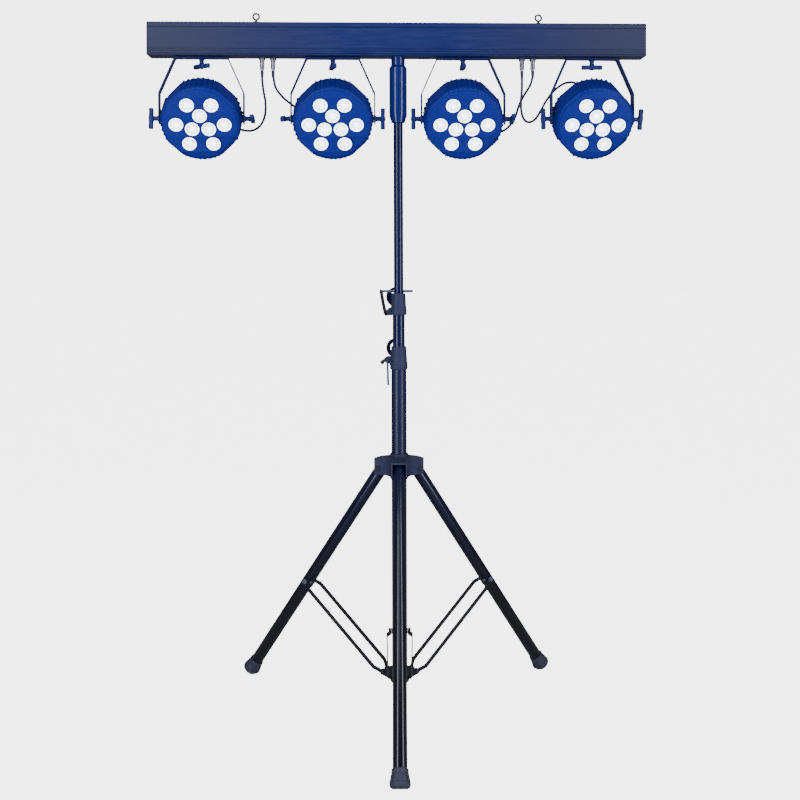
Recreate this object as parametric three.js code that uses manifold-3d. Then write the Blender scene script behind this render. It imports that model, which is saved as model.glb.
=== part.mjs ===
// A light bar with four LED par cans on a telescopic tripod stand.
// Millimetres, +Z up, the lamps face -Y. The origin is on the floor, at the middle of the
// bounding box's footprint, so the pole stands a little behind it.

import * as THREE from "three";
import { mergeVertices } from "three/addons/utils/BufferGeometryUtils.js";
import Module from "manifold-3d";

const wasm = await Module();
wasm.setup();

// ---- Driving dimensions ----

const GAP = 0.3; // between pieces that touch on the real object
const WALL = 1.5; // tube wall

const BASE_TUBE = { r: 17.5, bottom: 52, top: 800 };
const MID_TUBE = { r: 14, bottom: 330, top: 920 };
const TOP_TUBE = { r: 11, bottom: 560, top: 1450 };

const LOWER_COLLAR = { bottom: 770, top: 823, rBottom: 20.5, rTop: 17 };
const UPPER_COLLAR = { bottom: 895, top: 945, rBottom: 18.5, rTop: 15.5 };
const COLLAR_KNOB_TURN = 105; // degrees round the pole from +X
const COLLAR_BOSS = 25; // from the pole's axis to the boss face

const PIN = { r: 3, z: 950, left: -44, right: 33, headR: 4.5, headLength: 9 };

const HUB = { bottom: 526, top: 573, plate: 13, reach: 57, coreR: 26, skirtR: 33 };
const LEG_TURNS = { front: -92, right: 30, left: 150 };
const LEG = { r: 14.5, pivotR: 45, pivotZ: 540, spread: 35, head: 11 };
const CHANNEL = { inner: 15.1, outer: 18.9 };
const FOOT = { rTop: 16.5, rBottom: 21.5, sole: 17.5, edge: 4.5, height: 42, sink: 7, tube: 24 };
const CLAMP_AT = 352.5; // down the leg from its pivot to the brace's bolt
const CLAMP = { r: 15.8, length: 18 };

const BRACKET = { pivotR: 38, pivotZ: 69, sleeveR: 24, bottom: 52, top: 82, lug: 26, lugR: 6.5 };
const BRACE = {
  lateral: 26.5,
  inset: 15,
  top: 17.7,
  thickness: 2.5,
  width: 8.5,
  pinR: 3,
  pinHalf: 17.5,
};

const BAR = { length: 1137, depth: 55, bottom: 1489, top: 1564, wall: 2.5, cap: 2.7 };
const SOCKET = { top: 1488.7, bottom: 1338, r: 20.5, neckR: 16, rimR: 16.3 };
const EYE_X = 325.5;
const EYE = { ringR: 7.25, wireR: 1.85, centre: 17, washerR: 8 };
const CONNECTORS = { near: 287, far: 312, length: 33, r: 6 };

const LAMP_X = [-450, -150, 150, 450];
const LAMP_PAN = [1, 0, 0, 3]; // degrees, positive turns the face towards +X
const LAMP_TILT = 30; // degrees below level
const LAMP_Z = 1347;
const YOKE = { elbow: 96, rise: 57.5, top: 138.6, plateHalf: 60, width: 25, sheet: 3, drop: 14.4 };
const CAN = { r: 90, front: 37, back: 45, wall: 3, faceR: 80, bossR: 9, glandR: 7, gland: 15 };
const LENS = { r: 17, hole: 17.6, inner: 21.6, outer: 54.3, plateR: 84 };
const KNOB = { length: 49, width: 11, thickness: 10, stemR: 7, stem: 12, screwR: 3.5 };
const SCREW_HOLE_R = KNOB.screwR + 2 * GAP;
const CABLE_R = 2.5;

const ROUND = 24; // sides of the big round pieces
const TUBE_SIDES = 16;
const SMALL = 8; // sides of pins, holes, lenses and cables

const radians = THREE.MathUtils.degToRad;

// ---- Materials ----

const finish = (color, roughness, metalness) =>
  new THREE.MeshStandardMaterial({ color, roughness, metalness });

const FINISHES = {
  tube: finish(0x14151c, 0.35, 0.6),
  plastic: finish(0x3a3d55, 0.55, 0),
  rubber: finish(0x101014, 0.85, 0),
  steel: finish(0xb8bcc4, 0.3, 1),
  bar: finish(0x2a2c45, 0.45, 0.5),
  can: finish(0x1b3d9c, 0.5, 0),
  lens: finish(0xf2f8ff, 0.1, 0),
  yoke: finish(0x20264f, 0.45, 0.4),
  knob: finish(0x1a1f48, 0.6, 0),
  cable: finish(0x0d0f20, 0.6, 0),
};

// ---- Solids ----

/** A closed geometry as a solid that manifold-3d can join and cut, its faces turned outwards. */
function solid(geometry) {
  const plain = geometry.clone();
  plain.deleteAttribute("normal");
  plain.deleteAttribute("uv");
  const merged = mergeVertices(plain, 1e-4);
  const corners = merged.index.array;
  const triangles = [];
  for (let i = 0; i < corners.length; i += 3) {
    const [a, b, c] = corners.slice(i, i + 3);
    if (a !== b && b !== c && c !== a) triangles.push(a, b, c);
  }
  const build = (triVerts) =>
    new wasm.Manifold(
      new wasm.Mesh({
        numProp: 3,
        vertProperties: new Float32Array(merged.attributes.position.array),
        triVerts: new Uint32Array(triVerts),
      }),
    );
  const made = build(triangles);
  return made.volume() < 0 ? build(triangles.reverse()) : made;
}

function joined(first, ...others) {
  return others.reduce((sum, other) => sum.add(other), first);
}

function cut(body, ...tools) {
  return tools.reduce((rest, tool) => rest.subtract(tool), body);
}

function geometryOf(body) {
  const mesh = body.getMesh();
  const positions = new Float32Array(mesh.numVert * 3);
  for (let i = 0; i < mesh.numVert; i++) {
    positions.set(mesh.vertProperties.subarray(i * mesh.numProp, i * mesh.numProp + 3), i * 3);
  }
  const geometry = new THREE.BufferGeometry();
  geometry.setAttribute("position", new THREE.BufferAttribute(positions, 3));
  geometry.setIndex(new THREE.BufferAttribute(new Uint32Array(mesh.triVerts), 1));
  geometry.computeVertexNormals();
  return geometry;
}

/** A turned body: [radius, height] points from axis to axis, or a closed loop, about Z. */
function turned(profile, sides = ROUND) {
  const points = profile.map(([r, z]) => new THREE.Vector2(r, z));
  return solid(new THREE.LatheGeometry(points, sides).rotateX(Math.PI / 2));
}

/** A cylinder or cone along Z between two heights. */
function column(r, from, to, sides = SMALL, rTop = r) {
  const made = new THREE.CylinderGeometry(rTop, r, to - from, sides);
  return solid(made.rotateX(Math.PI / 2).translate(0, 0, (from + to) / 2));
}

/** A cylinder along X, centred on the origin. */
function rodX(r, from, to, sides = SMALL) {
  const made = new THREE.CylinderGeometry(r, r, to - from, sides);
  return solid(made.rotateZ(Math.PI / 2).translate((from + to) / 2, 0, 0));
}

/** A block given by its lowest and highest corners. */
function block(low, high) {
  const size = high.map((value, i) => value - low[i]);
  const middle = high.map((value, i) => (value + low[i]) / 2);
  return solid(new THREE.BoxGeometry(...size).translate(...middle));
}

/** A flat outline drawn in X and Y, from z = 0 to the given thickness. */
function plate(outline, thickness) {
  return solid(new THREE.ExtrudeGeometry(outline, { depth: thickness, bevelEnabled: false }));
}

function outlineOf(points) {
  return new THREE.Shape(points.map(([x, y]) => new THREE.Vector2(x, y)));
}

/** The outline of a strap of even thickness bent along a line of points, with mitred corners. */
function strapOutline(line, thickness) {
  const points = line.map(([x, y]) => new THREE.Vector2(x, y));
  const runs = points.slice(1).map((point, i) => point.clone().sub(points[i]).normalize());
  const left = [];
  const right = [];
  points.forEach((point, i) => {
    const before = runs[Math.max(i - 1, 0)];
    const after = runs[Math.min(i, runs.length - 1)];
    const along = before.clone().add(after).normalize();
    const reach = thickness / 2 / along.dot(after);
    const across = new THREE.Vector2(-along.y, along.x).multiplyScalar(reach);
    left.push(point.clone().add(across));
    right.unshift(point.clone().sub(across));
  });
  return new THREE.Shape([...left, ...right]);
}

/** An outline drawn as distance from the pole and height, as a plate of the given width. */
function radialPlate(outline, width) {
  const flat = new THREE.ExtrudeGeometry(outline, {
    depth: width,
    bevelEnabled: false,
    curveSegments: 5,
  });
  return solid(flat.translate(0, 0, -width / 2).rotateX(Math.PI / 2));
}

/** The same body turned about Z. */
function spun(body, degrees) {
  return solid(geometryOf(body).rotateZ(radians(degrees)));
}

function tube(r, from, to) {
  return cut(column(r, from, to, TUBE_SIDES), column(r - WALL, from - 1, to + 1, TUBE_SIDES));
}

/** A T-bar hand knob on its screw: the clamped face is at z = 0 and the wing is further up Z. */
function knobSolid(screwLength) {
  const half = KNOB.length / 2;
  const side = KNOB.width / 2;
  const quarter = [
    [half, side - 2],
    [half - 2.5, side],
    [7, side - 0.8],
  ];
  const outline = [
    ...quarter,
    ...quarter.map(([x, y]) => [-x, y]).reverse(),
    ...quarter.map(([x, y]) => [-x, -y]),
    ...quarter.map(([x, y]) => [x, -y]).reverse(),
  ];
  const wing = new THREE.ExtrudeGeometry(outlineOf(outline), {
    depth: KNOB.thickness,
    bevelEnabled: false,
  });
  return joined(
    column(KNOB.screwR, -screwLength, 1),
    column(KNOB.stemR, 0, KNOB.stem + 1),
    solid(wing.translate(0, 0, KNOB.stem)),
  );
}

// ---- Assembly ----

const assembly = new THREE.Group();

/** Adds a named mesh to a group and returns it, so that it can be placed. */
function add(group, name, body, material) {
  const mesh = new THREE.Mesh(geometryOf(body), material);
  mesh.name = name;
  group.add(mesh);
  return mesh;
}

/** A group at a place in its parent, turned about Z. */
function groupAt(parent, x, y, z, degrees = 0) {
  const group = new THREE.Group();
  group.position.set(x, y, z);
  group.rotation.z = radians(degrees);
  parent.add(group);
  return group;
}

/** A knob whose screw points at the pole, standing off the pole by the given distance. */
function addRadialKnob(name, distance, z, turn, wingTurn, screwLength) {
  const arm = groupAt(assembly, 0, 0, z, turn);
  const knob = add(arm, name, knobSolid(screwLength), FINISHES.knob);
  knob.position.x = distance + GAP;
  knob.rotation.set(0, Math.PI / 2, 0);
  knob.rotateZ(radians(wingTurn));
}

/** A clamp collar: wide enough for the outer tube below its step, and for the inner one above. */
function collarSolid(collar, outerR, innerR, step) {
  const middle = (collar.bottom + collar.top) / 2;
  const boss = block([innerR, -8, middle - 10], [COLLAR_BOSS, 8, middle + 10]);
  const screwHole = rodX(SCREW_HOLE_R, 0, COLLAR_BOSS + 1).translate(0, 0, middle);
  return cut(
    joined(
      column(collar.rBottom, collar.bottom, collar.top, TUBE_SIDES, collar.rTop),
      spun(boss, COLLAR_KNOB_TURN),
    ),
    column(outerR + GAP, collar.bottom - 1, step + GAP, TUBE_SIDES),
    column(innerR + GAP, collar.bottom - 1, collar.top + 1, TUBE_SIDES),
    spun(screwHole, COLLAR_KNOB_TURN),
  );
}

function addMast() {
  add(assembly, "base_tube", tube(BASE_TUBE.r, BASE_TUBE.bottom, BASE_TUBE.top), FINISHES.tube);
  add(assembly, "mid_tube", tube(MID_TUBE.r, MID_TUBE.bottom, MID_TUBE.top), FINISHES.tube);
  const pinHole = rodX(PIN.r + GAP, -TOP_TUBE.r - 1, TOP_TUBE.r + 1).translate(0, 0, PIN.z);
  const topTube = cut(tube(TOP_TUBE.r, TOP_TUBE.bottom, TOP_TUBE.top), pinHole);
  add(assembly, "top_tube", topTube, FINISHES.tube);

  const pinHead = rodX(PIN.headR, PIN.left, PIN.left + PIN.headLength);
  const pin = joined(rodX(PIN.r, PIN.left + 1, PIN.right), pinHead);
  add(assembly, "upper_pin", pin, FINISHES.steel).position.z = PIN.z;

  const collars = [
    ["lower_collar", LOWER_COLLAR, BASE_TUBE, MID_TUBE, 10],
    ["upper_collar", UPPER_COLLAR, MID_TUBE, TOP_TUBE, -15],
  ];
  for (const [name, collar, outer, inner, wingTurn] of collars) {
    add(assembly, name, collarSolid(collar, outer.r, inner.r, outer.top), FINISHES.plastic);
    const middle = (collar.bottom + collar.top) / 2;
    const screwLength = COLLAR_BOSS + GAP - outer.r - 1;
    addRadialKnob(`${name}_knob`, COLLAR_BOSS, middle, COLLAR_KNOB_TURN, wingTurn, screwLength);
  }
}

function hubSolid() {
  const side = [
    [10, HUB.bottom],
    [HUB.reach - 9, HUB.bottom],
    [HUB.reach, HUB.bottom + 8],
    [HUB.reach, HUB.top - 9],
    [HUB.reach - 6, HUB.top],
    [10, HUB.top],
  ];
  const under = HUB.top - HUB.plate;
  const arm = radialPlate(outlineOf(side), 2 * CHANNEL.outer);
  const low = [HUB.coreR + 0.5, -CHANNEL.inner, HUB.bottom - 1];
  const channel = block(low, [HUB.reach + 10, CHANNEL.inner, under]);
  const turns = Object.values(LEG_TURNS);
  const middle = (HUB.bottom + HUB.top) / 2;
  const boss = spun(block([20, -8, middle - 9], [HUB.skirtR, 8, middle + 9]), 90);
  const screwHole = rodX(SCREW_HOLE_R, 0, HUB.skirtR + 1).translate(0, 0, middle);
  const body = joined(
    column(HUB.skirtR, under, HUB.top, TUBE_SIDES),
    column(HUB.coreR, HUB.bottom, HUB.top, TUBE_SIDES),
    boss,
    ...turns.map((turn) => spun(arm, turn)),
  );
  return cut(
    body,
    ...turns.map((turn) => spun(channel, turn)),
    spun(screwHole, 90),
    column(BASE_TUBE.r + GAP, HUB.bottom - 1, HUB.top + 1, TUBE_SIDES),
  );
}

function bracketSolid() {
  const { pivotR, pivotZ, lugR } = BRACKET;
  const lugOutline = new THREE.Shape();
  lugOutline.moveTo(10, pivotZ - lugR);
  lugOutline.lineTo(pivotR, pivotZ - lugR);
  lugOutline.absarc(pivotR, pivotZ, lugR, -Math.PI / 2, Math.PI / 2, false);
  lugOutline.lineTo(10, pivotZ + lugR);
  const lug = radialPlate(lugOutline, BRACKET.lug);
  const bore = new THREE.CylinderGeometry(BRACE.pinR + 0.5, BRACE.pinR + 0.5, 40, SMALL);
  const pinBore = solid(bore.translate(pivotR, 0, pivotZ));
  const turns = Object.values(LEG_TURNS);
  return cut(
    joined(
      column(BRACKET.sleeveR, BRACKET.bottom, BRACKET.top, TUBE_SIDES),
      ...turns.map((turn) => spun(lug, turn)),
    ),
    ...turns.map((turn) => spun(pinBore, turn)),
    column(BASE_TUBE.r + GAP, BRACKET.bottom - 1, BRACKET.top + 1, TUBE_SIDES),
  );
}

/** A leg tube with its brace clamp, its pivot at the origin and its foot down -Z. */
function legSolid(length) {
  const half = CLAMP.length / 2;
  const clamp = column(CLAMP.r, -CLAMP_AT - half, -CLAMP_AT + half, TUBE_SIDES);
  return cut(
    joined(column(LEG.r, -length, LEG.head, TUBE_SIDES), clamp),
    column(LEG.r - WALL, -length - 1, LEG.head + 1, TUBE_SIDES),
  );
}

/** A rubber boot square to its leg, ground flat where it meets the floor. */
function footSolid(floor, legEnd, place) {
  const sole = FOOT.sink - floor;
  const boot = turned(
    [
      [0, sole],
      [FOOT.sole, sole],
      [FOOT.rBottom, sole + FOOT.edge],
      [FOOT.rTop, sole + FOOT.height],
      [LEG.r + GAP, sole + FOOT.height],
      [LEG.r + GAP, -legEnd - GAP],
      [0, -legEnd - GAP],
    ],
    TUBE_SIDES,
  );
  const placed = solid(geometryOf(boot).applyMatrix4(place));
  return cut(placed, block([0, -100, -100], [900, 100, 0]));
}

/** Two flat bars joined by a pin at the origin, running out along X. */
function braceSolid(reach) {
  const { lateral, inset, top, thickness, width, pinR, pinHalf } = BRACE;
  const bars = [1, -1].map((side) => {
    const line = [
      [-3, side * inset],
      [6, side * inset],
      [23, side * lateral],
      [reach - 22, side * lateral],
      [reach - 8, side * top],
      [reach + 4, side * top],
    ];
    return plate(strapOutline(line, thickness), width).translate(0, 0, -width / 2);
  });
  const pin = new THREE.CylinderGeometry(pinR, pinR, 2 * pinHalf, SMALL);
  return joined(solid(pin), ...bars);
}

function addLegs() {
  add(assembly, "leg_hub", hubSolid(), FINISHES.plastic);
  addRadialKnob("hub_knob", HUB.skirtR, (HUB.bottom + HUB.top) / 2, 90, 10, 12);
  add(assembly, "lower_bracket", bracketSolid(), FINISHES.tube);

  const spread = radians(LEG.spread);
  const floor = LEG.pivotZ / Math.cos(spread); // down the leg from its pivot to the floor
  const legEnd = floor - FOOT.tube;
  const boltR = LEG.pivotR + CLAMP_AT * Math.sin(spread);
  const boltZ = LEG.pivotZ - CLAMP_AT * Math.cos(spread);
  const reach = Math.hypot(boltR - BRACKET.pivotR, boltZ - BRACKET.pivotZ);
  const rise = Math.atan2(boltZ - BRACKET.pivotZ, boltR - BRACKET.pivotR);

  for (const [side, turn] of Object.entries(LEG_TURNS)) {
    const arm = groupAt(assembly, 0, 0, 0, turn);
    const leg = add(arm, `leg_${side}`, legSolid(legEnd), FINISHES.tube);
    leg.position.set(LEG.pivotR, 0, LEG.pivotZ);
    leg.rotation.y = -spread;
    leg.updateMatrix();
    add(arm, `foot_${side}`, footSolid(floor, legEnd, leg.matrix), FINISHES.rubber);
    const brace = add(arm, `brace_${side}`, braceSolid(reach), FINISHES.tube);
    brace.position.set(BRACKET.pivotR, 0, BRACKET.pivotZ);
    brace.rotation.y = -rise;
  }
}

function addBar() {
  const half = BAR.length / 2;
  const deep = BAR.depth / 2;
  const { bottom, top, wall } = BAR;
  const screwHole = column(SCREW_HOLE_R, bottom - 1, bottom + wall + 1);
  const housing = cut(
    block([-half, -deep, bottom], [half, deep, top]),
    block([-half - 1, wall - deep, bottom + wall], [half + 1, deep - wall, top - wall]),
    ...LAMP_X.map((x) => screwHole.translate(x, 0, 0)),
  );
  add(assembly, "bar_body", housing, FINISHES.bar);
  for (const [side, sign] of [["left", -1], ["right", 1]]) {
    const cap = block([-BAR.cap / 2, -deep, bottom], [BAR.cap / 2, deep, top]);
    const endCap = add(assembly, `bar_end_cap_${side}`, cap, FINISHES.bar);
    endCap.position.x = sign * (half + GAP + BAR.cap / 2);

    const ring = new THREE.TorusGeometry(EYE.ringR, EYE.wireR, 6, 12).rotateX(Math.PI / 2);
    const eye = joined(
      solid(ring.translate(0, 0, EYE.centre)),
      column(2.4, GAP, EYE.centre - EYE.ringR + 1),
      column(EYE.washerR, GAP, 2.5),
      column(5.5, 2, 6.5, 6),
    );
    add(assembly, `eye_bolt_${side}`, eye, FINISHES.steel).position.set(sign * EYE_X, 0, top);

    const { near, far, length, r } = CONNECTORS;
    const plugs = [near, far].flatMap((x) => [
      column(r + 1, -10, -0.5).translate(x, 0, 0),
      column(r, -length + 5, -9).translate(x, 0, 0),
      column(r - 1.5, -length, -length + 6).translate(x, 0, 0),
    ]);
    const seat = block([near - 9, -11, -1.5], [far + 9, 11, 0]);
    const pair = add(assembly, `connector_pair_${side}`, joined(seat, ...plugs), FINISHES.steel);
    pair.position.z = bottom - GAP;
    pair.rotation.z = sign < 0 ? Math.PI : 0;
  }
}

function socketSolid() {
  const { top, bottom, r, neckR, rimR } = SOCKET;
  const boreR = TOP_TUBE.r + GAP;
  const boreTop = TOP_TUBE.top + GAP;
  return turned(
    [
      [0, boreTop],
      [boreR, boreTop],
      [boreR, bottom],
      [rimR, bottom],
      [rimR, bottom + 4],
      [r, bottom + 16],
      [r, top - 25],
      [neckR, top - 19],
      [neckR, top],
      [0, top],
    ],
    TUBE_SIDES,
  );
}

// ---- Lamps ----
// A can is drawn face on: X to the right, Y up, Z out of the lenses, its pivots on the X axis.

const SPLIT = 12; // where the front shell meets the rear one

const lensPlaces = [
  ...[90, 210, 330].map((turn) => [LENS.inner, turn]),
  ...[0, 60, 120, 180, 240, 300].map((turn) => [LENS.outer, turn]),
].map(([r, turn]) => [r * Math.cos(radians(turn)), r * Math.sin(radians(turn))]);

function frontShellSolid() {
  const { r, front, wall, faceR } = CAN;
  const shell = turned([
    [0, front - wall],
    [r - 6, front - wall],
    [r - wall, front - 6],
    [r - wall, SPLIT],
    [r, SPLIT],
    [r, front - 8],
    [r - 4, front - 2],
    [faceR, front],
    [0, front],
  ]);
  const hole = column(LENS.hole, front - wall - 1, front + 1);
  return cut(shell, ...lensPlaces.map(([x, y]) => hole.translate(x, y, 0)));
}

function rearShellSolid() {
  const { r, back, wall, bossR, glandR, gland } = CAN;
  const rim = SPLIT - GAP;
  const shell = turned([
    [0, -back],
    [r - 16, -back],
    [r, 17 - back],
    [r, rim],
    [r - wall, rim],
    [r - wall, 18 - back],
    [r - 17, wall - back],
    [0, wall - back],
  ]);
  const bossEnd = YOKE.elbow - YOKE.sheet / 2 - GAP;
  const bosses = [1, -1].map((side) =>
    rodX(bossR, Math.min(side * 84, side * bossEnd), Math.max(side * 84, side * bossEnd)),
  );
  const screwHole = rodX(SCREW_HOLE_R, -bossEnd - 1, bossEnd + 1);
  const cableGland = column(glandR, -back - gland, 1 - back);
  return cut(joined(shell, cableGland, ...bosses), screwHole);
}

function lensPlateSolid() {
  const { front } = CAN;
  const disc = column(LENS.plateR, front - 11, front - 8, ROUND);
  const lens = column(LENS.r, front - 8.5, front - 1);
  return joined(disc, ...lensPlaces.map(([x, y]) => lens.translate(x, y, 0)));
}

function yokeSolid() {
  const { elbow, rise, top, plateHalf, width, sheet, drop } = YOKE;
  const line = [
    [-elbow, -drop],
    [-elbow, rise],
    [-plateHalf, top],
    [plateHalf, top],
    [elbow, rise],
    [elbow, -drop],
  ];
  const strap = new THREE.ExtrudeGeometry(strapOutline(line, sheet), {
    depth: width,
    bevelEnabled: false,
  });
  const side = new THREE.Shape();
  side.moveTo(-width, top + 5);
  side.lineTo(-width, 5);
  side.lineTo(-width / 2, 5);
  side.absarc(0, width / 2 - drop, width / 2, Math.PI, 2 * Math.PI, false);
  side.lineTo(width / 2, 5);
  side.lineTo(width, 5);
  side.lineTo(width, top + 5);
  const profile = new THREE.ExtrudeGeometry(side, {
    depth: 220,
    bevelEnabled: false,
    curveSegments: 6,
  });
  profile.translate(0, 0, -110).rotateX(Math.PI / 2).rotateZ(Math.PI / 2);
  return cut(
    solid(strap.translate(0, 0, -width / 2).rotateX(Math.PI / 2)).intersect(solid(profile)),
    rodX(SCREW_HOLE_R, -elbow - 5, elbow + 5),
    column(SCREW_HOLE_R, top - 5, top + 5),
  );
}

// How each lamp's knobs were left: degrees of the wing about its screw.
const WING_TURNS = [
  { pan: 40, left: 8, right: 86 },
  { pan: 78, left: 84, right: 4 },
  { pan: 88, left: 3, right: 75 },
  { pan: 4, left: 6, right: 18 },
];

function addLamp(number, x, pan, wings) {
  const lamp = groupAt(assembly, x, 0, LAMP_Z, pan);
  const name = (piece) => `lamp_${number}_${piece}`;
  add(lamp, name("yoke"), yokeSolid(), FINISHES.yoke);

  const can = new THREE.Group();
  can.rotation.x = Math.PI / 2 + radians(LAMP_TILT);
  lamp.add(can);
  add(can, name("front_shell"), frontShellSolid(), FINISHES.can);
  add(can, name("rear_shell"), rearShellSolid(), FINISHES.can);
  add(can, name("lens_plate"), lensPlateSolid(), FINISHES.lens);

  const panKnob = add(lamp, name("pan_knob"), knobSolid(10), FINISHES.knob);
  panKnob.position.z = YOKE.top - YOKE.sheet / 2 - GAP;
  panKnob.rotation.set(Math.PI, 0, 0);
  panKnob.rotateZ(radians(wings.pan));

  for (const [side, sign] of [["left", -1], ["right", 1]]) {
    const knob = add(lamp, name(`tilt_knob_${side}`), knobSolid(9), FINISHES.knob);
    knob.position.x = sign * (YOKE.elbow + YOKE.sheet / 2 + GAP);
    knob.rotation.set(0, (sign * Math.PI) / 2, 0);
    knob.rotateZ(radians(wings[side]));
  }
}

// ---- Lamp cables ----
// Each hangs from its plug under the bar and loops round behind its can to the cable gland.

const CABLE_TOP = BAR.bottom - GAP - CONNECTORS.length - GAP;

const CABLE_ROUTES = [
  [
    [-312, 0, CABLE_TOP],
    [-312, 0, 1440],
    [-310, 5, 1415],
    [-306, 16, 1387],
    [-309, 34, 1358],
    [-322, 54, 1337],
    [-343, 74, 1328],
    [-370, 91, 1332],
    [-398, 101, 1347],
    [-421, 104, 1368],
  ],
  [
    [-287, 0, CABLE_TOP],
    [-286, 0, 1441],
    [-281, 4, 1418],
    [-266, 16, 1399],
    [-246, 36, 1384],
    [-224, 62, 1373],
    [-204, 86, 1371],
    [-184, 102, 1380],
  ],
  [
    [312, 0, CABLE_TOP],
    [311, 1, 1440],
    [305, 8, 1422],
    [294, 17, 1404],
    [284, 28, 1382],
    [276, 41, 1355],
    [262, 57, 1334],
    [242, 74, 1324],
    [217, 91, 1329],
    [196, 102, 1346],
    [180, 104, 1368],
  ],
  [
    [287, 0, CABLE_TOP],
    [287, -1, 1440],
    [286, -5, 1414],
    [284, -5, 1388],
    [286, 1, 1363],
    [295, 13, 1346],
    [309, 26, 1343],
    [324, 37, 1352],
    [337, 44, 1371],
    [350, 50, 1393],
    [366, 55, 1415],
    [386, 61, 1433],
    [408, 70, 1443],
    [430, 82, 1441],
  ],
];
const CABLE_STEPS = [20, 16, 20, 26];

/** A point on a lamp's optical axis, counted from its pivots towards the lenses. */
function onAxis(lamp, distance) {
  const tilt = radians(LAMP_TILT);
  const pan = radians(LAMP_PAN[lamp]);
  return new THREE.Vector3(
    LAMP_X[lamp] + distance * Math.cos(tilt) * Math.sin(pan),
    -distance * Math.cos(tilt) * Math.cos(pan),
    LAMP_Z - distance * Math.sin(tilt),
  );
}

function cableSolid(lamp) {
  const gland = CAN.back + CAN.gland + GAP;
  const route = CABLE_ROUTES[lamp].map((point) => new THREE.Vector3(...point));
  for (const behind of [34, 22, 10, 0]) route.push(onAxis(lamp, -gland - behind));
  const curve = new THREE.CatmullRomCurve3(route, false, "centripetal");
  const section = outlineOf(
    Array.from({ length: SMALL }, (_, i) => (2 * Math.PI * i) / SMALL).map((turn) => [
      CABLE_R * Math.cos(turn),
      CABLE_R * Math.sin(turn),
    ]),
  );
  const steps = CABLE_STEPS[lamp];
  return solid(new THREE.ExtrudeGeometry(section, { steps, extrudePath: curve }));
}

addMast();
addLegs();
addBar();
add(assembly, "mast_socket", socketSolid(), FINISHES.tube);
LAMP_X.forEach((x, i) => {
  addLamp(i + 1, x, LAMP_PAN[i], WING_TURNS[i]);
  add(assembly, `lamp_${i + 1}_cable`, cableSolid(i), FINISHES.cable);
});

// The origin goes to the middle of the footprint, on the floor.
const root = new THREE.Group();
root.add(assembly);
root.updateMatrixWorld(true);
const footprint = new THREE.Box3().setFromObject(assembly, true);
const middle = footprint.getCenter(new THREE.Vector3());
assembly.position.set(-middle.x, -middle.y, -footprint.min.z);

export default root;
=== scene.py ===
import math

import bmesh
import bpy
from mathutils import Matrix, Vector


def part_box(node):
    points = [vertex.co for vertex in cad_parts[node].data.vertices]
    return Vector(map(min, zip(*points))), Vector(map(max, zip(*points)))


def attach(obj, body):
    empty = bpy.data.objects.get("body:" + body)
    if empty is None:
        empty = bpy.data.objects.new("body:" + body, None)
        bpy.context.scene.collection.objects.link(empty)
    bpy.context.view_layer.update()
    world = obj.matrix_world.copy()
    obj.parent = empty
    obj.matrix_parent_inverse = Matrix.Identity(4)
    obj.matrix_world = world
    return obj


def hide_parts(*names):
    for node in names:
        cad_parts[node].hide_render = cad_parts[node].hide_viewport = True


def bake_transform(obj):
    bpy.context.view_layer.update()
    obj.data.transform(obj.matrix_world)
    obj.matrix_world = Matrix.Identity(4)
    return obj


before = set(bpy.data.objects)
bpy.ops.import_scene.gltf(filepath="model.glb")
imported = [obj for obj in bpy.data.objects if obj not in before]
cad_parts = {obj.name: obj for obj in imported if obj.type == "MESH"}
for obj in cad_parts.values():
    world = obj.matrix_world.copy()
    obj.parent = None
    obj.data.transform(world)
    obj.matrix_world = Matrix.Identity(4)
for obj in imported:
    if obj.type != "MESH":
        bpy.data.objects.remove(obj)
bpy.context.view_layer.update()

# Shapes are drawn in millimetres from the pole's axis at floor level, then placed in the frame.
MM = 0.001
_low, _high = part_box("base_tube")
POLE = Matrix.Translation(((_low.x + _high.x) / 2, (_low.y + _high.y) / 2, 0)) @ Matrix.Scale(MM, 4)

GAP = 0.3
WALL = 1.5
BASE_TUBE = {"r": 17.5, "bottom": 52, "top": 800}
MID_TUBE = {"r": 14, "bottom": 330, "top": 920}
TOP_TUBE = {"r": 11, "bottom": 560, "top": 1450}
LOWER_COLLAR = {"bottom": 770, "top": 823, "r_bottom": 20.5, "r_top": 17}
UPPER_COLLAR = {"bottom": 895, "top": 945, "r_bottom": 18.5, "r_top": 15.5}
COLLAR_KNOB_TURN = 105
COLLAR_BOSS = 25
PIN_Z = 950
HUB = {"bottom": 526, "top": 573, "plate": 13, "reach": 57, "arm": 47, "bore": 17.8}
HUB_SLOPE = [(0, 571.5), (19, 571), (57, 564), (90, 558)]
HUB_KNOB = {"z": 549.5, "turn": 90, "reach": 33}
LEG_TURNS = {"front": -92, "right": 30, "left": 150}
LEG = {"r": 14.5, "wall": 1.5, "pivot_r": 45, "pivot_z": 540, "spread": 35, "head": 11, "clamp": 352.5}
CHANNEL = {"inner": 15.1, "outer": 18.9}
FOOT = {"height": 35, "sink": 7, "tube": 24}
BRACKET = {"pivot_r": 38, "pivot_z": 69}
BRACE = {"lateral": 26.5, "inset": 15, "top": 17.7, "thickness": 2.5, "width": 9.8}
BAR = {"half": 568.5, "deep": 27.5, "bottom": 1489, "top": 1564, "cap": 2}
SOCKET = {"bottom": 1338, "seat": 1450.5, "top": 1488.7, "r": 20.5, "neck": 16, "bore": 11.3}
EYE_X = 325.5
PLUG_X = (287, 312)
LAMP_X = (-450, -150, 150, 450)
LAMP_PAN = (1, 0, 0, 3)
LAMP_TILT = 30
LAMP_Z = 1347
YOKE = {"elbow": 96, "rise": 57.5, "top": 138.6, "plate": 60, "width": 25, "sheet": 3, "drop": 14.4}
KNOB_TURNS = ((40, 8, 82), (78, 79, 4), (88, 3, 75), (4, 6, 18))
CAN = {"back": 45, "gland": 15, "chord": 13.5}
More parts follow.
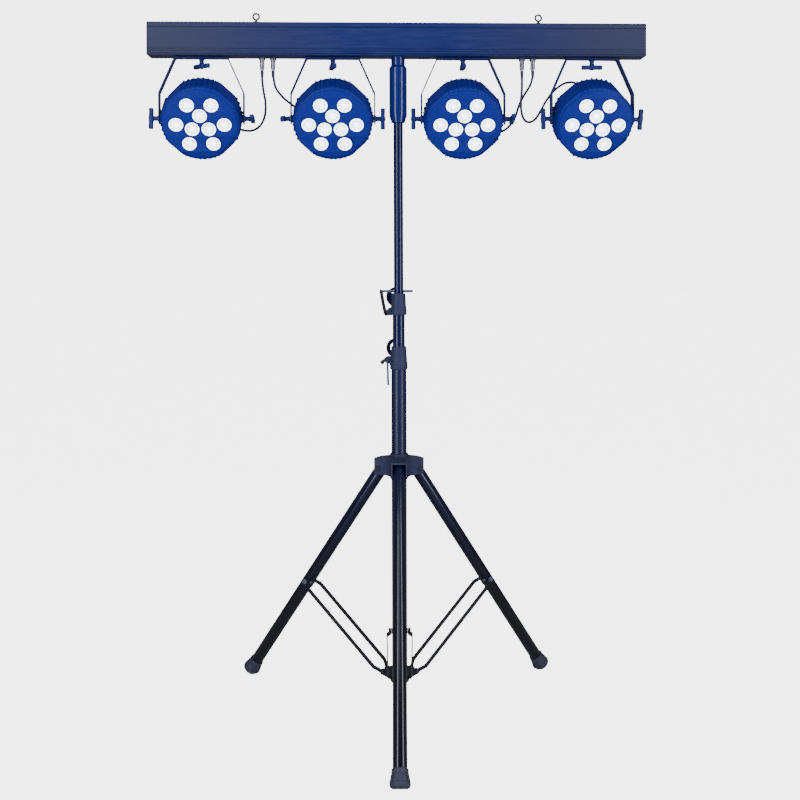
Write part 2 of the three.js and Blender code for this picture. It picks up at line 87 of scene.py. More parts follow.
LENS = {"r": 17, "hole": 17.6, "inner": 21.6, "outer": 54.3}
CABLE_D = 5.8
SPREAD = math.radians(LEG["spread"])
TINY = 0.01
# Turns a form drawn upright so that its height runs along the bar.
ALONG_X = Matrix(((0, 0, 1, 0), (1, 0, 0, 0), (0, 1, 0, 0), (0, 0, 0, 1)))


# ---- Camera and cables ----

def place(x, y, z):
    """A point in millimetres from the pole, as a point of the frame."""
    return POLE @ Vector((x, y, z))


camera = bpy.data.objects.new("camera", bpy.data.cameras.new("camera"))
bpy.context.scene.collection.objects.link(camera)
bpy.context.scene.camera = camera
camera.data.lens = 49.8
camera.data.sensor_width = 36
camera.data.clip_end = 30
camera.location = place(-89, -2550, 1035)
camera.data.shift_y = -0.1822
camera.rotation_euler = (math.radians(90), math.radians(0.17), math.radians(-2.075))


def smooth_path(points, span=7):
    """A centripetal curve through the points, as a list of closely spaced points."""
    line = [Vector(point) for point in points]
    line = [2 * line[0] - line[1], *line, 2 * line[-1] - line[-2]]
    out = []
    for p0, p1, p2, p3 in zip(line, line[1:], line[2:], line[3:]):
        t1 = (p1 - p0).length ** 0.5
        t2 = t1 + (p2 - p1).length ** 0.5
        t3 = t2 + (p3 - p2).length ** 0.5
        for step in range(span):
            t = t1 + (t2 - t1) * step / span
            a1 = p0.lerp(p1, t / t1)
            a2 = p1.lerp(p2, (t - t1) / (t2 - t1))
            a3 = p2.lerp(p3, (t - t2) / (t3 - t2))
            b1 = a1.lerp(a2, t / t2)
            b2 = a2.lerp(a3, (t - t1) / (t3 - t1))
            out.append(b1.lerp(b2, (t - t1) / (t2 - t1)))
    out.append(line[-2])
    return out


# ---- Forms: lists of corners and faces, in millimetres ----

def filleted(points, radius, steps=3, closed=False):
    """A flat line with its corners rounded. A third number is that corner's own radius."""
    out = []
    for i, point in enumerate(points):
        here = Vector(point[:2])
        own = point[2] if len(point) > 2 else radius
        if own <= 0 or (not closed and i in (0, len(points) - 1)):
            out.append(here[:])
            continue
        before = Vector(points[i - 1][:2]) - here
        after = Vector(points[(i + 1) % len(points)][:2]) - here
        corner = before.angle(after)
        if corner > math.radians(176):
            out.append(here[:])
            continue
        reach = min(own / math.tan(corner / 2), before.length * 0.48, after.length * 0.48)
        a = here + before.normalized() * reach
        b = here + after.normalized() * reach
        for step in range(steps + 1):
            t = step / steps
            out.append((a * (1 - t) ** 2 + here * 2 * t * (1 - t) + b * t * t)[:])
    return out


def lathe(profile, sides=48):
    """A turned form about Z from (radius, height) points, run from pole to pole or round a ring."""
    count = len(profile)
    corners = []
    for i in range(sides):
        turn = 2 * math.pi * i / sides
        corners += [(r * math.cos(turn), r * math.sin(turn), z) for r, z in profile]
    faces = []
    for i in range(sides):
        a, b = i * count, (i + 1) % sides * count
        faces += [(a + k, b + k, b + k + 1, a + k + 1) for k in range(count - 1)]
    return corners, faces


def ring(profile, radius=0.5, sides=48, steps=3):
    """A turned form from a closed profile with rounded corners."""
    line = filleted(profile, radius, steps, closed=True)
    return lathe([*line, line[0]], sides)


def hoop(radius, thickness, steps):
    """A round rod bent to a circle about Z, from its own radius and its thickness as a radius."""
    angles = [2 * math.pi * i / steps for i in range(steps + 1)]
    return lathe([(radius + thickness * math.cos(a), thickness * math.sin(a)) for a in angles], 40)


def drum(profile, radius=0.5, sides=48):
    """A turned form from a profile that starts and ends on the axis, with rounded corners."""
    return lathe(filleted(profile, radius), sides)


def offset(outline, distance):
    """A closed outline moved inwards by a distance, anticlockwise outlines only."""
    count = len(outline)
    out = []
    for i in range(count):
        here = Vector(outline[i])
        before = (here - Vector(outline[i - 1])).normalized()
        after = (Vector(outline[(i + 1) % count]) - here).normalized()
        along = (before + after).normalized()
        lean = max(along.dot(after), 0.4)
        out.append((here + Vector((-along.y, along.x)) * distance / lean)[:])
    return out


def skin(count, levels):
    """The faces of a closed form made of rings of corners: its two ends, then its walls."""
    faces = [tuple(range(count - 1, -1, -1)), tuple(range((levels - 1) * count, levels * count))]
    for level in range(levels - 1):
        a, b = level * count, (level + 1) * count
        for i in range(count):
            j = (i + 1) % count
            faces.append((a + i, a + j, b + j, b + i))
    return faces


def stacked(levels):
    """A closed form from outlines of equal count at rising heights."""
    corners = [(x, y, z) for outline, z in levels for x, y in outline]
    return corners, skin(len(levels[0][0]), len(levels))


def prism(outline, low, high, edge=0.4):
    """A closed outline stood up between two heights, its two rims softened."""
    inner = offset(outline, edge)
    return stacked([(inner, low), (outline, low + edge), (outline, high - edge), (inner, high)])


def block(low, high, edge=0.5, corner=0.8):
    """A box with rounded upright corners and softened rims."""
    outline = [(low[0], low[1]), (high[0], low[1]), (high[0], high[1]), (low[0], high[1])]
    return prism(filleted(outline, corner, 3, closed=True), low[2], high[2], edge)


def sharp_block(low, high):
    """A box to cut with, all but sharp."""
    return block(low, high, TINY, 2 * TINY)


def strap_outline(line, thickness, bend=4):
    """The outline of a strap bent along a line, anticlockwise."""
    line = [Vector(point) for point in filleted(line, bend, 5)]
    left = []
    right = []
    for i, point in enumerate(line):
        before = (point - line[i - 1]).normalized() if i else None
        after = (line[i + 1] - point).normalized() if i + 1 < len(line) else before
        before = before or after
        along = (before + after).normalized()
        across = Vector((-along.y, along.x)) * thickness / 2 / along.dot(after)
        left.append((point + across)[:])
        right.append((point - across)[:])
    return right + left[::-1]


def sweep(path, radius, sides=12):
    """A round rod along a path of points, closed at both ends."""
    along = (path[1] - path[0]).normalized()
    up = along.orthogonal().normalized()
    corners = []
    for i, point in enumerate(path):
        ahead = path[min(i + 1, len(path) - 1)] - path[max(i - 1, 0)]
        turn = along.rotation_difference(ahead.normalized())
        up = turn @ up
        along = ahead.normalized()
        side = along.cross(up)
        for k in range(sides):
            a = 2 * math.pi * k / sides
            corners.append(point + (up * math.cos(a) + side * math.sin(a)) * radius)
    return corners, skin(sides, len(path))


def moved(form, matrix):
    corners, faces = form
    return [matrix @ Vector(corner) for corner in corners], faces


def at(x=0, y=0, z=0):
    return Matrix.Translation((x, y, z))


def turn(degrees, axis="Z"):
    return Matrix.Rotation(math.radians(degrees), 4, axis)


def mesh_of(*forms):
    """One mesh from forms and meshes, each closed by merging its doubled corners."""
    whole = bmesh.new()
    for form in forms:
        part = bmesh.new()
        if isinstance(form, bpy.types.Mesh):
            part.from_mesh(form)
        else:
            corners = [part.verts.new(corner) for corner in form[0]]
            for face in form[1]:
                part.faces.new([corners[i] for i in face])
        bmesh.ops.remove_doubles(part, verts=part.verts, dist=0.002)
        bmesh.ops.recalc_face_normals(part, faces=part.faces)
        bridge = bpy.data.meshes.new("bridge")
        part.to_mesh(bridge)
        whole.from_mesh(bridge)
        bpy.data.meshes.remove(bridge)
        part.free()
    mesh = bpy.data.meshes.new("form")
    whole.to_mesh(mesh)
    whole.free()
    return mesh


def evaluated(obj):
    """The object with its modifiers as a plain mesh. The object itself is removed."""
    bpy.context.view_layer.update()
    graph = bpy.context.evaluated_depsgraph_get()
    mesh = bpy.data.meshes.new_from_object(obj.evaluated_get(graph), depsgraph=graph)
    bpy.data.objects.remove(obj)
    return mesh


def added(data, name="helper"):
    """A new object in the scene."""
    obj = bpy.data.objects.new(name, data)
    bpy.context.scene.collection.objects.link(obj)
    return obj


def carved(mesh, *cutters, edge=0.0):
    """A mesh with other forms cut out of it, and every edge left then softened."""
    obj = added(mesh)
    tools = [added(mesh_of(cutter)) for cutter in cutters]
    for tool in tools:
        cut = obj.modifiers.new("cut", "BOOLEAN")
        cut.operation = "DIFFERENCE"
        cut.solver = "EXACT"
        cut.object = tool
    if edge:
        soften = obj.modifiers.new("soften", "BEVEL")
        soften.width = edge
        soften.segments = 2
        soften.limit_method = "ANGLE"
        soften.angle_limit = math.radians(40)
    made = evaluated(obj)
    for tool in tools:
        bpy.data.objects.remove(tool)
    return made


def pierced(outline, holes, depth, edge):
    """A flat plate with round holes, all its edges bevelled, its middle plane at z = 0."""
    curve = bpy.data.curves.new("plate", "CURVE")
    curve.dimensions = "2D"
    curve.fill_mode = "BOTH"
    curve.extrude = depth / 2 - edge
    curve.bevel_depth = edge
    curve.bevel_resolution = 2
    curve.offset = -edge
    rims = [outline]
    for x, y, r in holes:
        rims.append([(x + r * math.cos(a), y + r * math.sin(a))
                     for a in (2 * math.pi * i / 40 for i in range(40))])
    for rim in rims:
        spline = curve.splines.new("POLY")
        spline.points.add(len(rim) - 1)
        for point, (x, y) in zip(spline.points, rim):
            point.co = (x, y, 0, 1)
        spline.use_cyclic_u = True
    return evaluated(added(curve))


# ---- Repeated shapes: one node tree, used for every ring of ribs, lenses, screws and knurls ----

def tree_socket(tree, name, kind, direction="INPUT", value=None):
    socket = tree.interface.new_socket(name=name, in_out=direction, socket_type=kind)
    if value is not None:
        socket.default_value = value
    return socket.identifier


def new_node(tree, kind, **values):
    """A new node, with plain values on some of its sockets. An underscore stands for a space."""
    node = tree.nodes.new(kind)
    for name, value in values.items():
        node.inputs[name.replace("_", " ")].default_value = value
    return node


def ring_tree():
    """Copies of a shape round Z, in groups: angle = first + group * group step + place * step."""
    tree = bpy.data.node_groups.new("copies round an axis", "GeometryNodeTree")
    names = {}
    for name, kind, value in (
        ("Shape", "NodeSocketObject", None),
        ("Count", "NodeSocketInt", 12),
        ("In a group", "NodeSocketInt", 12),
        ("Radius", "NodeSocketFloat", 10.0),
        ("First angle", "NodeSocketFloat", 0.0),
        ("Step", "NodeSocketFloat", 30.0),
        ("Group step", "NodeSocketFloat", 0.0),
        ("Uneven", "NodeSocketFloat", 0.0),
        ("Finish", "NodeSocketMaterial", None),
    ):
        names[name] = tree_socket(tree, name, kind, value=value)
    tree_socket(tree, "Copies", "NodeSocketGeometry", "OUTPUT")
    nodes, links = tree.nodes, tree.links
    given = nodes.new("NodeGroupInput")
    result = nodes.new("NodeGroupOutput")

    def maths(operation, a, b=None):
        node = nodes.new("ShaderNodeMath")
        node.operation = operation
        for socket, value in zip(node.inputs, (a, b)):
            if isinstance(value, bpy.types.NodeSocket):
                links.new(value, socket)
            elif value is not None:
                socket.default_value = value
        return node.outputs[0]

    index = nodes.new("GeometryNodeInputIndex").outputs[0]
    group = maths("FLOOR", maths("DIVIDE", index, given.outputs["In a group"]))
    inside = maths("MODULO", index, given.outputs["In a group"])
    degrees = maths("ADD", maths("MULTIPLY", group, given.outputs["Group step"]),
                    maths("MULTIPLY", inside, given.outputs["Step"]))
    angle = maths("RADIANS", maths("ADD", degrees, given.outputs["First angle"]))
    spot = nodes.new("ShaderNodeCombineXYZ")
    links.new(maths("MULTIPLY", maths("COSINE", angle), given.outputs["Radius"]), spot.inputs["X"])
    links.new(maths("MULTIPLY", maths("SINE", angle), given.outputs["Radius"]), spot.inputs["Y"])
    row = nodes.new("GeometryNodePoints")
    links.new(given.outputs["Count"], row.inputs["Count"])
    links.new(spot.outputs[0], row.inputs["Position"])
    facing = nodes.new("ShaderNodeCombineXYZ")
    links.new(angle, facing.inputs["Z"])
    uneven = nodes.new("FunctionNodeRandomValue")
    uneven.data_type = "FLOAT"
    links.new(maths("SUBTRACT", 1.0, given.outputs["Uneven"]), uneven.inputs[2])
    uneven.inputs[3].default_value = 1.0
    uneven.inputs["Seed"].default_value = 7
    shape = nodes.new("GeometryNodeObjectInfo")
    links.new(given.outputs["Shape"], shape.inputs["Object"])
    copies = nodes.new("GeometryNodeInstanceOnPoints")
    links.new(row.outputs[0], copies.inputs["Points"])
    links.new(shape.outputs["Geometry"], copies.inputs["Instance"])
    links.new(facing.outputs[0], copies.inputs["Rotation"])
    links.new(uneven.outputs[1], copies.inputs["Scale"])
    solid = nodes.new("GeometryNodeRealizeInstances")
    links.new(copies.outputs[0], solid.inputs[0])
    painted = nodes.new("GeometryNodeSetMaterial")
    links.new(solid.outputs[0], painted.inputs["Geometry"])
    links.new(given.outputs["Finish"], painted.inputs["Material"])
    links.new(painted.outputs[0], result.inputs[0])
    return tree, names


RING_TREE, RING_INPUTS = ring_tree()


def copies_round(shape, count, radius, first=0.0, step=None, group=None, group_step=0.0, uneven=0.0,
                 finish=None):
    """Copies of a mesh set round Z by the node tree, as one plain mesh."""
    pattern = added(shape)
    carrier = added(bpy.data.meshes.new("carrier"))
    grow = carrier.modifiers.new("copies", "NODES")
    grow.node_group = RING_TREE
    values = {
        "Shape": pattern,
        "Count": count,
        "In a group": group or count,
        "Radius": float(radius),
        "First angle": float(first),
        "Step": float(360 / count if step is None else step),
        "Group step": float(group_step),
        "Uneven": float(uneven),
        "Finish": finish,
    }
    for name, value in values.items():
        grow[RING_INPUTS[name]] = value
    made = evaluated(carrier)
    bpy.data.objects.remove(pattern)
    return made


# ---- Finishes ----

def shader_group(name, inputs, outputs):
    tree = bpy.data.node_groups.new(name, "ShaderNodeTree")
    for label, kind, value in inputs:
        tree_socket(tree, label, kind, value=value)
    for label, kind in outputs:
        tree_socket(tree, label, kind, "OUTPUT")
    return tree, tree.nodes.new("NodeGroupInput"), tree.nodes.new("NodeGroupOutput")


def grain_group():
    """The fine skin of powder coat or moulded plastic: a height, and a shade that follows it."""
    tree, given, result = shader_group(
        "skin grain",
        [("Coordinates", "NodeSocketVector", None), ("Scale", "NodeSocketFloat", 900.0)],
        [("Height", "NodeSocketFloat"), ("Shade", "NodeSocketFloat")],
    )
    fine = new_node(tree, "ShaderNodeTexNoise", Detail=3, Roughness=0.6)
    coarse = tree.nodes.new("ShaderNodeTexVoronoi")
    coarse.feature = "SMOOTH_F1"
    coarse.inputs["Smoothness"].default_value = 0.6
    blend = new_node(tree, "ShaderNodeMix", Factor=0.45)
    for texture in (fine, coarse):
        tree.links.new(given.outputs["Coordinates"], texture.inputs["Vector"])
        tree.links.new(given.outputs["Scale"], texture.inputs["Scale"])
    tree.links.new(fine.outputs["Fac"], blend.inputs["A"])
    tree.links.new(coarse.outputs["Distance"], blend.inputs["B"])
    tree.links.new(blend.outputs["Result"], result.inputs["Height"])
    tree.links.new(fine.outputs["Fac"], result.inputs["Shade"])
    return tree


def wear_group():
    """Where edges have been rubbed: sharp outer edges, broken up by a coarse noise."""
    tree, given, result = shader_group(
        "rubbed edges",
        [("Coordinates", "NodeSocketVector", None), ("Amount", "NodeSocketFloat", 0.5)],
        [("Mask", "NodeSocketFloat")],
    )
    sharp = tree.nodes.new("ShaderNodeNewGeometry")
    edge = new_node(tree, "ShaderNodeMapRange", From_Min=0.56, From_Max=0.7)
    noise = new_node(tree, "ShaderNodeTexNoise", Scale=160, Detail=4)
    patch = new_node(tree, "ShaderNodeMapRange", From_Min=0.42, From_Max=0.62)
    both = tree.nodes.new("ShaderNodeMath")
    both.operation = "MULTIPLY"
    scaled = tree.nodes.new("ShaderNodeMath")
    scaled.operation = "MULTIPLY"
    tree.links.new(given.outputs["Coordinates"], noise.inputs["Vector"])
    tree.links.new(sharp.outputs["Pointiness"], edge.inputs["Value"])
    tree.links.new(noise.outputs["Fac"], patch.inputs["Value"])
    tree.links.new(edge.outputs["Result"], both.inputs[0])
    tree.links.new(patch.outputs["Result"], both.inputs[1])
    tree.links.new(both.outputs[0], scaled.inputs[0])
    tree.links.new(given.outputs["Amount"], scaled.inputs[1])
    tree.links.new(scaled.outputs[0], result.inputs["Mask"])
    return tree


def handling_group():
    """Slow patches of handling and dust, from 0 to 1."""
    tree, given, result = shader_group(
        "handling marks",
        [("Coordinates", "NodeSocketVector", None), ("Scale", "NodeSocketFloat", 30.0)],
        [("Mask", "NodeSocketFloat")],
    )
    noise = new_node(tree, "ShaderNodeTexNoise", Detail=5, Roughness=0.65)
    spread = new_node(tree, "ShaderNodeMapRange", From_Min=0.35, From_Max=0.7)
    tree.links.new(given.outputs["Coordinates"], noise.inputs["Vector"])
    tree.links.new(given.outputs["Scale"], noise.inputs["Scale"])
    tree.links.new(noise.outputs["Fac"], spread.inputs["Value"])
    tree.links.new(spread.outputs["Result"], result.inputs["Mask"])
    return tree


GRAIN = grain_group()
WEAR = wear_group()
HANDLING = handling_group()


class Finish:
    """A material under construction, with object coordinates, the shared groups and one shader."""

    def __init__(self, name, stretch=(1, 1, 1)):
        self.material = bpy.data.materials.new(name)
        self.material.use_nodes = True
        self.tree = self.material.node_tree
        self.shader = self.tree.nodes["Principled BSDF"]
        source = self.add("ShaderNodeTexCoord")
        mapping = self.add("ShaderNodeMapping", Scale=stretch)
        self.link(source.outputs["Object"], mapping.inputs["Vector"])
        self.plain = source.outputs["Object"]
        self.coordinates = mapping.outputs["Vector"]

    def add(self, kind, **values):
        return new_node(self.tree, kind, **values)

    def link(self, source, target):
        self.tree.links.new(source, target)

    def group(self, tree, output, **inputs):
        node = self.add("ShaderNodeGroup")
        node.node_tree = tree
        self.link(self.coordinates, node.inputs["Coordinates"])
        for name, value in inputs.items():
            node.inputs[name.capitalize()].default_value = value
        return node.outputs[output]

    def mixed(self, factor, a, b):
        node = self.add("ShaderNodeMix")
        node.data_type = "RGBA"
        self.link(factor, node.inputs["Factor"])
        for socket, value in ((node.inputs["A"], a), (node.inputs["B"], b)):
            if isinstance(value, bpy.types.NodeSocket):
                self.link(value, socket)
            else:
                socket.default_value = (*value, 1)
        return node.outputs["Result"]

    def ranged(self, value, low, high, start=0.0, end=1.0):
        node = self.add("ShaderNodeMapRange", From_Min=start, From_Max=end, To_Min=low, To_Max=high)
        self.link(value, node.inputs["Value"])
        return node.outputs["Result"]

    def times(self, a, b):
        node = self.add("ShaderNodeMath")
        node.operation = "MULTIPLY"
        self.link(a, node.inputs[0])
        self.link(b, node.inputs[1])
        return node.outputs[0]

    def painted_light_and_shade_along(self, axis, start, end, painted_tone):
        """Paints light and shade: mixes the base colour towards another tone along one axis of the frame."""
        apart = self.add("ShaderNodeSeparateXYZ")
        self.link(self.plain, apart.inputs[0])
        size = self.add("ShaderNodeMath")
        size.operation = "ABSOLUTE"
        self.link(apart.outputs[axis], size.inputs[0])
        factor = self.ranged(size.outputs[0], 0.0, 1.0, start, end)
        colour = self.shader.inputs["Base Color"]
        self.link(self.mixed(factor, colour.links[0].from_socket, painted_tone), colour)

    def bumped(self, height, depth):
        node = self.add("ShaderNodeBump", Strength=1.0, Distance=depth)
        self.link(height, node.inputs["Height"])
        self.link(node.outputs["Normal"], self.shader.inputs["Normal"])


def coated(name, base, light, worn, roughness, grain=900.0, depth=0.00002, wear=0.4,
           metallic=0.0, specular=0.5, stretch=(1, 1, 1)):
    """A painted or moulded finish: grain, a light and a dark tone, rubbed edges, handling marks."""
    look = Finish(name, stretch)
    shade = look.group(GRAIN, "Shade", scale=grain)
    tone = look.group(HANDLING, "Mask", scale=30.0)
    colour = look.mixed(look.ranged(shade, 0.0, 1.0, 0.35, 0.65), base, light)
    colour = look.mixed(look.ranged(tone, 0.0, 0.35), colour, light)
    rubbed = look.group(WEAR, "Mask", amount=wear)
    look.link(look.mixed(rubbed, colour, worn), look.shader.inputs["Base Color"])
    look.link(look.ranged(tone, roughness[0], roughness[1]), look.shader.inputs["Roughness"])
    look.shader.inputs["Metallic"].default_value = metallic
    look.shader.inputs["Specular IOR Level"].default_value = specular
    look.bumped(look.group(GRAIN, "Height", scale=grain), depth)
    return look


def bar_finish():
    """Dark anodised extrusion: drawn lines along its length, and a painted sheen that greys it towards its
    ends.
    """
    look = coated("anodised bar", (0.005, 0.011, 0.085), (0.008, 0.016, 0.105), (0.12, 0.14, 0.3),
                  (0.45, 0.55), grain=500.0, depth=0.000003, wear=0.2, specular=0.25,
                  stretch=(0.1, 1, 1))
    # Painted sheen: the bar turns greyer towards its ends.
    look.painted_light_and_shade_along("X", 0.12, 0.5, (0.027, 0.029, 0.068))
    return look.material


def tube_finish(name, roughness):
    """Black powder coat with painted shade: a little bluer higher up, darker and less blue towards the
    floor.
    """
    look = coated(name, (0.0015, 0.003, 0.035), (0.0025, 0.005, 0.05), (0.1, 0.12, 0.2),
                  roughness, grain=900.0, depth=0.0000006, wear=0.1)
    # Painted shade: the tube darkens to near black towards the floor.
    look.painted_light_and_shade_along("Z", 0.85, 0.2, (0.0015, 0.0015, 0.005))
    return look.material


def lens_finish():
    """A lit collimator lens: white, with pale petals between its centre and its rim."""
    look = Finish("lit lens")
    across = look.add("ShaderNodeAttribute")
    across.attribute_name = "lens_reach"
    round_it = look.add("ShaderNodeAttribute")
    round_it.attribute_name = "lens_turn"
    petals = look.add("ShaderNodeMath")
    petals.operation = "SINE"
    look.link(look.ranged(round_it.outputs["Fac"], 0.0, 2 * math.pi * 9), petals.inputs[0])
    cells = look.add("ShaderNodeTexVoronoi", Scale=260)
    look.link(look.coordinates, cells.inputs["Vector"])
    band = look.ranged(across.outputs["Fac"], 0.2, 1.0, 0.1, 0.6)
    outer = look.ranged(across.outputs["Fac"], 1.0, 0.0, 0.72, 0.95)
    facets = look.times(band, outer)
    lumps = look.times(facets, look.ranged(petals.outputs[0], 0.4, 1.0, -1.0, 1.0))
    sparkle = look.times(lumps, look.ranged(cells.outputs["Distance"], 0.3, 1.0, 0.1, 0.5))
    glow = look.mixed(sparkle, (0.97, 1.0, 1.0), (0.05, 0.17, 0.32))
    rim = look.ranged(across.outputs["Fac"], 0.0, 1.0, 0.9, 0.945)
    look.link(look.mixed(rim, glow, (0.002, 0.01, 0.06)), look.shader.inputs["Emission Color"])
    look.shader.inputs["Emission Strength"].default_value = 7.0
    look.shader.inputs["Base Color"].default_value = (0.2, 0.25, 0.4, 1)
    look.shader.inputs["Roughness"].default_value = 0.15
    return look.material


def steel_finish():
    look = Finish("zinc plated steel", stretch=(1, 1, 0.15))
    tone = look.group(HANDLING, "Mask", scale=220.0)
    look.link(look.mixed(tone, (0.2, 0.19, 0.21), (0.5, 0.48, 0.48)), look.shader.inputs["Base Color"])
    look.link(look.ranged(tone, 0.14, 0.28), look.shader.inputs["Roughness"])
    look.shader.inputs["Metallic"].default_value = 1.0
    look.bumped(look.group(GRAIN, "Height", scale=1200.0), 0.000003)
    return look.material


FINISHES = {
    "tube": tube_finish("black coated tube", (0.14, 0.18)),
    "matt": tube_finish("matt black coated tube", (0.34, 0.42)),
    "socket": coated("blue coated socket", (0.003, 0.009, 0.1), (0.004, 0.013, 0.13), (0.15, 0.17, 0.3),
                     (0.17, 0.22), grain=900.0, depth=0.0000006, wear=0.15).material,
    "plastic": coated("grey moulded plastic", (0.018, 0.0205, 0.053), (0.026, 0.029, 0.068),
                      (0.14, 0.16, 0.25), (0.5, 0.62), grain=900.0, depth=0.00001, wear=0.06,
                      specular=0.3).material,
    "rubber": coated("moulded rubber", (0.019, 0.019, 0.036), (0.032, 0.032, 0.056), (0.1, 0.1, 0.14),
                     (0.5, 0.72), grain=800.0, depth=0.00002, wear=0.4).material,
    "bar": bar_finish(),
    "can": coated("blue lamp housing", (0.0055, 0.0125, 0.18), (0.0075, 0.017, 0.22), (0.02, 0.06, 0.38),
                  (0.5, 0.6), grain=1000.0, depth=0.000008, wear=0.4, specular=0.2).material,
    "yoke": coated("coated strap", (0.006, 0.012, 0.1), (0.009, 0.017, 0.13), (0.12, 0.15, 0.35),
                   (0.4, 0.5), grain=1000.0, depth=0.000005, wear=0.3, specular=0.3).material,
    "knob": coated("moulded knob", (0.005, 0.011, 0.1), (0.009, 0.018, 0.14), (0.08, 0.12, 0.36),
                   (0.4, 0.5), grain=1000.0, depth=0.00001, wear=0.5, specular=0.3).material,
    "cable": coated("flexible cable", (0.002, 0.004, 0.045), (0.004, 0.007, 0.06), (0.03, 0.04, 0.12),
                    (0.4, 0.55), grain=1500.0, depth=0.000003, wear=0.0).material,
    "strap": coated("black strap steel", (0.0025, 0.0025, 0.006), (0.005, 0.005, 0.01), (0.1, 0.1, 0.15),
                    (0.35, 0.5), grain=1300.0, depth=0.000005, wear=0.2).material,
    "bolt": coated("dull bolt", (0.1, 0.11, 0.2), (0.16, 0.17, 0.28), (0.4, 0.42, 0.5),
                   (0.35, 0.5), grain=900.0, depth=0.000005, wear=0.3, metallic=0.8).material,
    "steel": steel_finish(),
    "lens": lens_finish(),
}


def dressed(name, mesh, finish, where, sharp):
    """The object of a mesh, placed in the frame, in its finish and with its edges over an angle sharp."""
    mesh.name = name
    mesh.transform(POLE @ where)
    mesh.materials.clear()
    mesh.materials.append(FINISHES[finish])
    mesh.shade_smooth()
    mesh.set_sharp_from_angle(angle=math.radians(sharp))
    return added(mesh, name)


def put(name, mesh, body, finish, *replaced, where=Matrix.Identity(4), sharp=32):
    """Places a copy of a mesh in the frame as a named piece on a body."""
    obj = dressed(name, mesh.copy(), finish, where, sharp)
    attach(obj, body)
    if replaced:
        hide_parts(*replaced)
    return obj


# ---- Small hardware ----

def hex_bolt(flats, height, washer=0.0):
    """A hexagon head on its washer, standing up Z from 0."""
    r = flats / 2 / math.cos(math.pi / 6)
    head = lathe(filleted([(0, 0), (r, 0), (r, height - 0.8), (r * 0.86, height), (0, height)], 0.3), 6)
    parts = [head]
    if washer:
        parts.append(drum([(0, -0.1), (washer, -0.1), (washer, 1.1), (0, 1.1)], 0.3, 28))
    return mesh_of(*parts)


def round_screw(r, height):
    """A pan head with a cross recess, standing up Z from 0."""
    head = drum([(0, 0), (r, 0), (r, height * 0.5), (r * 0.55, height), (0, height)], r * 0.35, 24)
    slots = [sharp_block((-r * a, -r * b, height * 0.45), (r * a, r * b, height + 1))
             for a, b in ((0.55, 0.11), (0.11, 0.55))]
    return carved(mesh_of(head), *slots)


def wing_knob():
    """A T-bar knob: a round stem, a waisted wing and grip ridges on both ends. Clamps at z = 0."""
    half = [(24.5, -3.6, 1.5), (24.5, 3.6, 1.5), (20, 5.3, 4), (11, 4.3, 6), (6.5, 6.6, 3)]
    outline = half + [(-x, y, r) for x, y, r in reversed(half[1:])] + [(-24.5, -3.6, 1.5)]
    outline += [(-x, -y, r) for x, y, r in half[2:]] + [(x, -y, r) for x, y, r in reversed(half[2:])]
    wing = prism(filleted(outline, 1.5, 4, closed=True), 12, 22, 1.4)
    stem = drum([(0, 0), (7, 0), (7, 2), (5.6, 3.4), (5.6, 10), (6.8, 12.5), (6.8, 20), (0, 20)], 0.7, 32)
    cap = drum([(0, 21.8), (4.2, 21.8), (4.2, 22.6), (3.4, 23.1), (0, 23.1)], 0.3, 24)
    ridge = block((-0.55, -5.2, 13.2), (0.55, 5.2, 22.35), 0.25, 0.25)
    ridges = [moved(ridge, at(x)) for x in (-21.6, -19.2, -16.8, 16.8, 19.2, 21.6)]
    screw = drum([(0, -9), (3.2, -9), (3.2, 0.5), (0, 0.5)], 0.4, 16)
    return mesh_of(wing, stem, cap, screw, *ridges)


WING_KNOB = wing_knob()
M6_BOLT = hex_bolt(10, 4, 6.5)
M5_SCREW = round_screw(4, 2.6)
M3_SCREW = round_screw(2.6, 1.6)


def put_knob(name, body, where):
    put(name + "_grip", WING_KNOB, body, "knob", name, where=where)


def radial(distance, z, azimuth, spin=0.0):
    """A frame whose Z points away from the pole at a height and an azimuth."""
    return turn(azimuth) @ at(distance, 0, z) @ turn(90, "Y") @ turn(spin)


# ---- Mast ----

def tube_form(r, bottom, top):
    return ring([(r, bottom), (r, top), (r - WALL, top), (r - WALL, bottom)], 0.5, 64)


def collar_mesh(collar, outer, inner):
    """A clamp collar on the end of one tube, with a moulded line, a web and a knob boss."""
    low, high, wide, narrow = collar["bottom"], collar["top"], collar["r_bottom"], collar["r_top"]
    outer_r, inner_r, step = outer["r"], inner["r"], outer["top"]
    line = low + 0.3 * (high - low)
    waist = wide + (narrow - wide) * 0.3
    shell = ring([
        (wide - 1.5, low, 1), (wide, low + 2.5, 1), (waist + 0.9, line - 1.2, 0.5), (waist + 0.1, line, 0.3),
        (narrow + 0.5, high - 3, 1.2), (narrow - 0.6, high, 1), (inner_r + GAP, high, 0.5),
        (inner_r + GAP, step + GAP, 0), (outer_r + GAP, step + GAP, 0), (outer_r + GAP, low, 0.5),
    ], 0.6, 64)
    middle = (low + high) / 2
    boss = block((outer_r + 1, -8, middle - 11), (COLLAR_BOSS, 8, middle + 11), 1.2, 2.5)
    web = block((outer_r - 1, -3, low + 3), (COLLAR_BOSS - 3, 3, high - 3), 0.8, 1)
    return mesh_of(shell, moved(boss, turn(COLLAR_KNOB_TURN)), moved(web, turn(COLLAR_KNOB_TURN)))


